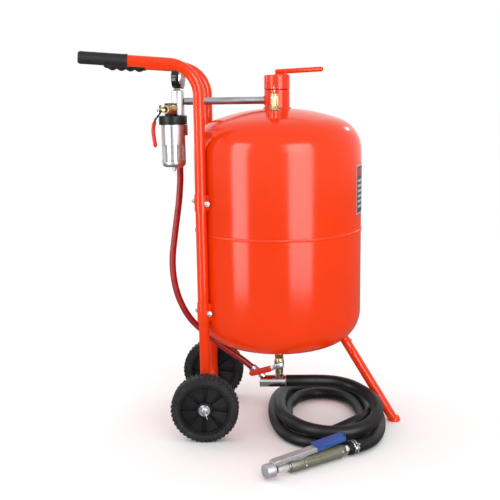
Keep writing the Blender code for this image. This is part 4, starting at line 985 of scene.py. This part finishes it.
def make_meter_valve():
    spot = Matrix((-Y, X, Z)).transposed().to_4x4()
    spot.translation = Vector((0, 0, METER_Z))
    side = spot @ along(X)
    low = TEE.z + 0.0195 - METER_Z
    bore = 0.006
    barrel = [(bore, -0.013), (0.01, -0.013), (0.0112, -0.0095), (0.0122, -0.003), (0.0122, 0.003),
              (0.0112, 0.0095), (0.01, 0.013), (bore, 0.013)]
    waist = [(bore, low), (0.0086, low), (0.0086, low + 0.002), (0.0098, low + 0.0028),
             (0.0098, -0.0128),
             (bore, -0.0128)]
    body = join(turned(waist, 48, spot), turned(barrel, 48, spot),
                hexagon(0.021, 0.0128, 0.0225, spot, bore),
                thread(0.0096, 0.0222, 0.03, spot, bore=bore),
                ring(bore, 0.0105, 0.0298, 0.048, spot, 48),
                ring(0.0037, 0.0072, 0.01, 0.015, side, 32),
                hexagon(0.013, 0.0148, 0.0185, side, 0.0037))
    add("meter_valve_brass", body, BRASS, replaces=["meter_valve_body"])
    drop = math.radians(14)
    swing = spot.to_3x3().inverted() @ Vector((-math.cos(drop), 0, -math.sin(drop)))
    path = [spot @ (X * a + swing * b) for a,
            b in ((0.0215, -0.009), (0.0215, 0.01), (0.029, 0.017),
                                                    (0.03, 0.045), (0.03, 0.074))]
    across = (spot.to_3x3() @ X.cross(swing)).normalized()
    steel, grip = valve_lever(path, across, 0.012, 2, 0.015, 0.0072)
    parts = join(steel, rod(0.0034, 0.009, 0.028, side, 24), hexagon(0.012, 0.0228, 0.0268, side),
                 rod(0.0082, 0.0195, 0.0203, side, 32, 0.0002))
    add("meter_lever", parts, ZINC, "meter_handle", ["meter_valve_lever"])
    add("meter_lever_grip", grip, ORANGE_VINYL, "meter_handle",
        ["meter_valve_grip"])


def make_tee():
    half, r = 0.033, 0.015
    spot = along(X, TEE)
    body = [(0.007, -half), (r - 0.0014, -half), (r, -half + 0.0014), (r, half - 0.003),
            (r - 0.0006, half - 0.0026),
            (r - 0.0006, half - 0.0014), (r, half - 0.001), (r - 0.0006, half), (0.007, half)]
    boss = turned([(0.006, TEE.z + 0.012), (0.0112, TEE.z + 0.012), (0.0112, TEE.z + 0.0182),
                   (0.01, TEE.z + 0.0192), (0.006, TEE.z + 0.0192)], 48)
    end = AIR_END + AIR_DROP * 0.0286
    socket = rod(0.008, 0.0, 0.01, along(AIR_DROP, end), 32, 0.0008)
    add("mixing_tee_body", join(turned(body, 72, spot), boss, socket), CHROME,
        replaces=["mixing_tee"])
    lower = along(AIR_DROP, AIR_END)
    barb = join(rod(0.0046, 0.003, 0.019, lower, 32), hexagon(0.013, 0.0185, 0.024, lower),
                thread(0.0062, 0.0238, 0.0283, lower))
    add("hose_barb_brass", barb, BRASS, replaces=["hose_barb"])


# ---------------------------------------------------------------- nozzle

def make_nozzle():
    back = along(BACK, NOZZLE)
    across = BACK.cross(Z)
    spot = Matrix((BACK, Z, across)).transposed().to_4x4()
    spot.translation = NOZZLE
    length, r = 0.15, 0.0145
    profile = [(0.0052, 0), (r - 0.0026, 0), (r - 0.0008, 0.0008), (r, 0.003), (r, 0.034),
               (r - 0.0009, 0.0352),
               (r - 0.0009, 0.0372), (r, 0.0384), (r, length - 0.01), (r - 0.0012, length - 0.0085),
               (r - 0.0016, length - 0.007), (r - 0.004, length - 0.001), (r - 0.0055, length),
               (0.0052, length)]
    barrel = turned(profile, 64, back)
    grooves = []
    for sign in (-1, 1):
        for angle, start, end in ((60, 0.046, 0.128), (32, 0.04, 0.134), (4, 0.046, 0.128),
                                  (46, 0.008, 0.03)):
            a = math.radians(angle)
            place = Vector(((start + end) / 2, 0.015 * math.sin(a), sign * 0.015 * math.cos(a)))
            grooves.append(block((end - start, 0.0022, 0.004),
                                 spot @ Matrix.Translation(place) @ Matrix.Rotation(-sign * a, 4,
                                                                                    'X'), 0.0007))
    barrel = cut(barrel, *grooves)
    lug = prism([(0.017, 0.01), (0.031, 0.01), (0.031, 0.0185), (0.029, 0.0205), (0.019, 0.0205),
                 (0.017, 0.0185)], 0.015, spot, 0.0006)
    seats = [spot @ at(s, up, 0) @ along(Z * sign)
             for s, up in ((0.038, -0.0035), (0.036, 0.005), (0.138, 0.003)) for sign in (-1, 1)]
    pads = [rod(0.0046, 0.0118, 0.0144, seat, 24, 0.0006) for seat in seats]
    add("blast_gun_body", join(barrel, lug, *pads), OLIVE, replaces=["nozzle_body"])
    screws = [cut(rod(0.003, 0.014, 0.0154, seat, 24, 0.0005),
                  block((0.007, 0.0008, 0.001), seat @ at(0, 0, 0.0154), 0.0001)) for seat in seats]
    pin = rod(0.0022, -0.0116, 0.0116, spot @ at(0.024, 0.019, 0), 24, 0.0004)
    add("gun_screws", join(*screws, pin), ZINC)
    tip = [(0.0034, -0.0035), (0.008, -0.0035), (0.008, -0.029), (0.0074, -0.031), (0.0062, -0.032),
           (0.0042, -0.032), (0.0034, -0.0305)]
    add("ceramic_nozzle", turned(tip, 48, back), CERAMIC, replaces=["nozzle_tip"])
    add("nozzle_washer", ring(0.006, 0.0108, -0.0032, -0.0002, back, 48, 0.0005), ZINC)
    outline = [(-0.044, 0.015), (-0.02, 0.015), (0.004, 0.0152), (0.012, 0.0128), (0.034, 0.0128),
               (0.044, 0.0165), (0.09, 0.0198), (0.146, 0.0255), (0.146, 0.0315), (0.09, 0.0295),
               (-0.03, 0.0245), (-0.044, 0.0225)]
    under = [(-0.036, 0.005), (0.088, 0.005), (0.088, 0.027), (-0.03, 0.0215), (-0.036, 0.02)]
    arm = cut(prism(outline, 0.02, spot, 0.0012), prism(under, 0.016, spot))
    cup_spot = along(BACK, NOZZLE + Z * 0.004)
    cup = [(0, -0.062), (0.013, -0.062), (0.0148, -0.0612), (0.0155, -0.0596), (0.0155, -0.0405),
           (0.0148, -0.04), (0.013, -0.04), (0.013, -0.058), (0, -0.058)]
    add("trigger_arm", join(arm, turned(cup, 56, cup_spot)), GREY, "trigger",
        ["nozzle_lever"])
    pad = [(0, -0.0576), (0.012, -0.0576), (0.012, -0.0375), (0.0112, -0.035), (0.009, -0.0345),
           (0, -0.0345)]
    add("trigger_seal", turned(pad, 48, cup_spot), GRIP_RUBBER, "trigger",
        ["nozzle_pad"])
    add("trigger_grip", vinyl_grip(spot), BLUE, "trigger", ["nozzle_grip"])


def vinyl_grip(spot):
    """Flat sleeve over the lever's end: round in plan, thinner towards its tip."""
    start, end, half = 0.07, 0.1535, 0.0125
    outline = [(start, -half), (start, half)]
    outline += [(end - half + half * math.sin(a),
                 half * math.cos(a)) for a in (math.pi * k / 20 for k in range(21))]
    bm = prism(outline, 1.0)
    bmesh.ops.recalc_face_normals(bm, faces=bm.faces)
    rim = [e for e in bm.edges if abs(e.verts[0].co.z - e.verts[1].co.z) < 0.5]
    for vert in bm.verts:
        along_grip = (vert.co.x - start) / (end - start)
        middle = 0.0262 + 0.0066 * along_grip
        vert.co = Vector((vert.co.x, middle + vert.co.z * (0.0118 - 0.005 * along_grip), vert.co.y))
    bmesh.ops.bevel(bm, geom=rim, offset=0.0026, segments=4, affect='EDGES', profile=0.5,
                    clamp_overlap=True)
    bm.transform(spot)
    return bm


# ---------------------------------------------------------------- trolley

def frame_path(side, steps=18):
    top, bend, end = 0.806, 0.07, Vector((-0.432, 0.146, 0.8905))
    slope = (end.z - (top + bend)) / (TUBE_X - bend - end.x)
    points = [Vector((TUBE_X, 0.115, 0.0643)), Vector((TUBE_X, 0.115, 0.15)),
              Vector((TUBE_X, 0.1156, 0.175)),
              Vector((TUBE_X, 0.1209, 0.25)), Vector((TUBE_X, TUBE_Y, 0.275)),
              Vector((TUBE_X, TUBE_Y, top))]
    for k in range(1, steps + 1):
        angle = (math.pi / 2 - math.atan(slope)) * k / steps
        points.append(Vector((TUBE_X - bend * (1 - math.cos(angle)), TUBE_Y + 0.0015 * k / steps,
                              top + bend * math.sin(angle))))
    points.append(end)
    return [Vector((p.x, p.y * side, p.z)) for p in points]


def make_side(name, side):
    path = frame_path(side)
    add("side_tube_" + name, swept(path, TUBE_RADIUS, 40, 0.0107), PAINT,
        replaces=["frame_" + name])
    end = path[-1]
    axis = (end - path[-2]).normalized()
    length = (-0.33 - end.x) / -axis.x
    start = end - axis * length
    # The finger notches face down on the far grip and inwards on the near one.
    notch = (Z * -1) if side > 0 else Vector((0, 1, 0))
    notch = (notch - axis * notch.dot(axis)).normalized()
    other = axis.cross(notch)
    rows, sides = 132, 48
    grip_r, collar, notches_end, pitch = 0.014, 0.004, 0.098, 0.0235
    bm = bmesh.new()
    rings = []
    for i in range(rows + 1):
        s = (length + collar) * i / rows
        phase = math.pi * ((s - collar) % pitch) / pitch
        wave = max(0.0, math.sin(phase)) if collar < s < notches_end else 0.0
        base = grip_r - 0.0003 * (1 if (i // 2) % 2 and 0.006 < s < 0.097 else 0)
        if s < collar:
            base = 0.0148
        if s > length:
            base = grip_r - 0.5 * (s - length)
        rings.append([bm.verts.new(start + axis * s + (notch * math.cos(a) + other * math.sin(a)) *
                                   (base + 0.005 * wave * max(0.0, math.cos(a)) ** 3))
                      for a in (math.tau * k / sides for k in range(sides))])
    skin(bm, rings)
    add("rubber_grip_" + name, bm, GRIP_RUBBER, replaces=["handle_grip_" + name],
        angle=50)


def make_clamps():
    bolts = []
    for level, (low, high) in (("lower", (0.285, 0.329)), ("upper", (0.545, 0.583))):
        middle = (low + high) / 2
        for name, side in (("left", -1), ("right", 1)):
            centre = Vector((TUBE_X, side * TUBE_Y, 0))
            inward = Vector((-centre.x, -centre.y, 0)).normalized()
            turn = Matrix((inward, Z.cross(inward), Z)).transposed().to_4x4()
            spot = Matrix.Translation(centre) @ turn
            # An open saddle round the tube, with flanges towards the vessel.
            arc = []
            for radius, angles in ((0.0153, range(0, 25)), (0.0128, range(24, -1, -1))):
                arc += [(radius * math.cos(math.radians(48 + 11 * k)),
                         radius * math.sin(math.radians(48 + 11 * k)))
                        for k in angles]
            saddle = prism(arc, high - low, spot @ at(0, 0, middle), 0.0)
            gap = math.hypot(centre.x, centre.y) - TANK_R
            ears = [block((gap - 0.004, 0.0026, high - low - 0.004),
                          spot @ at(0.0075 + (gap - 0.008) / 2, sign * 0.0118, middle),
                          0.0006) for sign in (-1, 1)]
            add(f"saddle_{level}_{name}", join(saddle, *ears), PAINT,
                replaces=[f"clamp_{level}_{name}"], angle=25)
            ahead = Vector((TUBE_X + 0.0145, centre.y + side * 0.0085, middle - 0.002))
            face = along(Y * side, ahead)
            bolts += [hexagon(0.0078, 0.0045, 0.0085, face), rod(0.0065, 0.003, 0.0046, face, 28),
                      rod(0.0024, -0.004, 0.011, face, 20)]
            left = along(-X, (TUBE_X, centre.y, middle + 0.004))
            bolts += [rod(0.0056, 0.015, 0.0163, left, 28), hexagon(0.0072, 0.016, 0.0192, left),
                      rod(0.0022, 0.012, 0.0212, left, 20)]
    add("clamp_bolts", join(*bolts), ZINC)


def make_wheels():
    axle = rod(0.0063, -0.1735, 0.1735, along(Y, (AXLE_X, 0, WHEEL_Z)), 40, 0.0014)
    add("axle_rod", axle, ZINC, replaces=["axle"])
    trim = []
    for name, side in (("left", -1), ("right", 1)):
        spot = along(Y * side, (AXLE_X, side * WHEEL_Y, WHEEL_Z))
        trim.append(ring(0.0065, 0.0135, 0.0183, 0.0199, spot, 48, 0.0003))
        pin = Vector((AXLE_X, side * 0.1702, WHEEL_Z))
        lean = Vector((0.38, 0, -1)).normalized()
        trim += [swept([pin - lean * 0.011 + Y * d, pin + Y * d * 0.6, pin + lean * 0.01 + Y * d,
                        pin + lean * 0.019 + Y * d * 4], 0.0008, 10) for d in (-0.0007, 0.0007)]
        trim.append(torus(0.0023, 0.0008, along(Y, pin - lean * 0.013), 24, 8))
        body = "wheel_" + name
        add("wheel_disc_" + name, wheel_disc(spot), WHEEL, body,
            ["wheel_hub_" + name])
        add("tyre_tread_" + name, tyre_mesh(spot), TYRE, body, ["wheel_tyre_" + name])
    add("axle_washers", join(*trim), ZINC)


def wheel_disc(spot):
    """Moulded wheel: dished web with eight ribs on each face, a boss and a rim."""
    half, bore = 0.018, 0.0066
    rim, hub = 0.062, 0.018
    profile = [(bore, -half), (hub - 0.001, -half), (hub, -half + 0.001), (hub + 0.0015, -0.0025),
               (rim - 0.015, -0.002),
               (rim - 0.007, -0.002), (rim - 0.0062, -half + 0.003), (rim - 0.0048, -half + 0.001),
               (rim - 0.001, -half + 0.001), (rim, -half + 0.002), (rim, half - 0.002),
               (rim - 0.001, half - 0.001),
               (rim - 0.0048, half - 0.001), (rim - 0.0062, half - 0.003), (rim - 0.007, 0.002),
               (rim - 0.015, 0.002), (hub + 0.0015, 0.0025), (hub, half - 0.001),
               (hub - 0.001, half), (bore, half)]
    parts = [turned(profile, 96, spot)]
    for face in (1, -1):
        for k in range(8):
            parts.append(fan(math.tau * (k + 0.1) / 8, face, hub + 0.0012, rim - 0.0068, spot))
    return join(*parts)


def fan(start, face, inner, outer, spot):
    """Moulded sector of the wheel's face: a thin rib, then a surface that slopes away from it."""
    steps = 8
    sweep = math.tau / 8
    rows = [(0.0, 0.013), (0.06, 0.013), (0.075, 0.0108)]
    rows += [(0.075 + 0.6 * k / steps, 0.0108 - 0.002 * k / steps) for k in range(1, steps + 1)]
    rows += [(0.7, 0.0042), (1.0, 0.0042)]
    bm = bmesh.new()
    loops = []
    for share, height in rows:
        angle = (start + sweep * share) * face
        out = polar(angle)
        loops.append([bm.verts.new(out * inner + Z * (0.0012 * face)),
                      bm.verts.new(out * inner + Z * (height * face)),
                      bm.verts.new(out * outer + Z * ((height - 0.001) * face)),
                      bm.verts.new(out * outer + Z * (0.0012 * face))])
    skin(bm, loops)
    bm.transform(spot)
    return bm


def tyre_mesh(spot):
    half, r, inner = 0.018, 0.0784, 0.0623
    profile = [(inner, -half + 0.001), (inner + 0.004, -half + 0.0002),
               (inner + 0.0052, -half + 0.001),
               (inner + 0.0064, -half + 0.0002), (r - 0.0075, -half + 0.0004),
               (r - 0.003, -half + 0.0022),
               (r - 0.0004, -half + 0.006), (r, 0.0), (r - 0.0004, half - 0.006),
               (r - 0.003, half - 0.0022),
               (r - 0.0075, half - 0.0004), (inner + 0.0064, half - 0.0002),
               (inner + 0.0052, half - 0.001),
               (inner + 0.004, half - 0.0002), (inner, half - 0.001)]
    parts = [turned(profile, 120, spot)]
    count = 44
    for k in range(count):
        for sign in (-1, 1):
            angle = math.tau * (k + (0.5 if sign > 0 else 0.0)) / count
            out = polar(angle)
            round_way = Z.cross(out)
            turn = Matrix((out, round_way, Z)).transposed().to_4x4()
            lug = block((0.006, 0.0066, 0.013), at(0.0768, 0, sign * 0.0102), 0.0009)
            lug.transform(Matrix.Rotation(sign * 0.22, 4, 'X'))
            lug.transform(spot @ turn)
            parts.append(lug)
            edge = block((0.0075, 0.0066, 0.0022), at(0.0735, 0, sign * 0.0172), 0.0006)
            edge.transform(spot @ turn)
            parts.append(edge)
    for k in range(count // 2):
        angle = math.tau * (k + 0.25) / (count // 2)
        out = polar(angle)
        turn = Matrix((out, Z.cross(out), Z)).transposed().to_4x4()
        parts.append(block((0.0036, 0.0085, 0.006), spot @ turn @ at(0.078, 0, 0), 0.0008))
    return join(*parts)


def make_leg():
    top, foot = LEG_TURN @ Vector((0.1585, 0, 0.2148)), LEG_TURN @ Vector((0.287, 0, 0.0))
    down = (foot - top).normalized()
    end = foot - down * 0.008
    r = 0.0115
    tube = swept([top, end], r, 40)
    across = LEG_TURN @ Y
    front = (down.cross(across)).normalized()
    slot_at = top + down * 0.04
    frame_turn = Matrix((down, across, down.cross(across))).transposed().to_4x4()
    slots = [block((0.017, 0.0075, 0.006),
                   Matrix.Translation(slot_at + front * sign * r) @ frame_turn,
                   0.0028) for sign in (-1, 1)]
    side_turn = Matrix((down, down.cross(across), across)).transposed().to_4x4()
    slots += [block((0.017, 0.0075, 0.006),
                    Matrix.Translation(slot_at + across * sign * r) @ side_turn, 0.0028)
              for sign in (-1, 1)]
    outside = cut(tube, *slots)
    flare = [(0, 0.0002), (0.0142, 0.0002), (0.0152, 0.0014), (0.0152, 0.0034), (0.0135, 0.006),
             (0.0122, 0.011),
             (0, 0.011)]
    add("leg_tube", join(outside, turned(flare, 48, Matrix.Translation(foot))), PAINT,
        replaces=["front_leg"])
    bead = []
    for k in range(49):
        angle = math.tau * k / 48
        ring_place = (top + down * 0.0085
                      + (across * math.cos(angle) + front * math.sin(angle)) * (r + 0.0006))
        slide = down * (0.01 * math.sin(angle))
        bead.append(ring_place + slide)
    sizes = [0.0022 + 0.0004 * math.sin(k * 2.1) for k in range(49)]
    add("leg_weld", swept(bead, sizes, 10), PAINT)


# ---------------------------------------------------------------- label

def patch(low, high, start, end, radius, thickness=0.0003):
    """Thin plate that follows the vessel's side, from one azimuth (degrees from +X) to another."""
    bm = bmesh.new()
    steps = max(2, int((end - start) / 1.5))
    loops = []
    for r, z in ((radius, low), (radius + thickness, low), (radius + thickness, high),
                 (radius, high)):
        loops.append([bm.verts.new(polar(math.radians(start + (end - start) * k / steps), r, z))
                      for k in range(steps + 1)])
    for i in range(4):
        a, b = loops[i], loops[(i + 1) % 4]
        for k in range(steps):
            bm.faces.new((a[k], a[k + 1], b[k + 1], b[k]))
    for k in (0, steps):
        bm.faces.new([loop[k] for loop in loops])
    return bm


def make_label():
    low, high, start, end = 0.527, 0.642, -25.0, 5.0
    add("label_plate", patch(low, high, start, end, TANK_R + 0.0001), LABEL_SILVER)
    add("label_field",
        patch(low + 0.004, high - 0.004, start + 1.2, end - 1.2, TANK_R + 0.0005, 0.0001),
        LABEL_DARK)
    add("label_header",
        patch(high - 0.026, high - 0.008, start + 2.2, end - 2.2, TANK_R + 0.0007, 0.0001), RED)
    bars = [patch(high - 0.04 - 0.012 * k, high - 0.034 - 0.012 * k, start + 2.6,
                  end - 2.6 - 3 * (k % 3),
                  TANK_R + 0.0007, 0.0001) for k in range(6)]
    add("label_bars", join(*bars), LABEL_GREY)


# ---------------------------------------------------------------- what stays from the CAD model

def finish_cad_nodes():
    for node, mat in (("cap_gasket", GRIP_RUBBER), ("inlet_valve_ball", CHROME),
                      ("meter_valve_ball", CHROME)):
        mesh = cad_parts[node].data
        mesh.materials.clear()
        mesh.materials.append(mat)


def main():
    make_camera()
    make_hoses()
    make_studio()
    make_vessel()
    make_cap()
    make_relief_valve()
    make_gauge()
    make_air_line()
    make_filter()
    make_inlet_valve()
    make_meter_valve()
    make_tee()
    make_nozzle()
    for name, side in (("left", -1), ("right", 1)):
        make_side(name, side)
    make_clamps()
    make_wheels()
    make_leg()
    make_label()
    finish_cad_nodes()
    bpy.context.view_layer.update()


main()
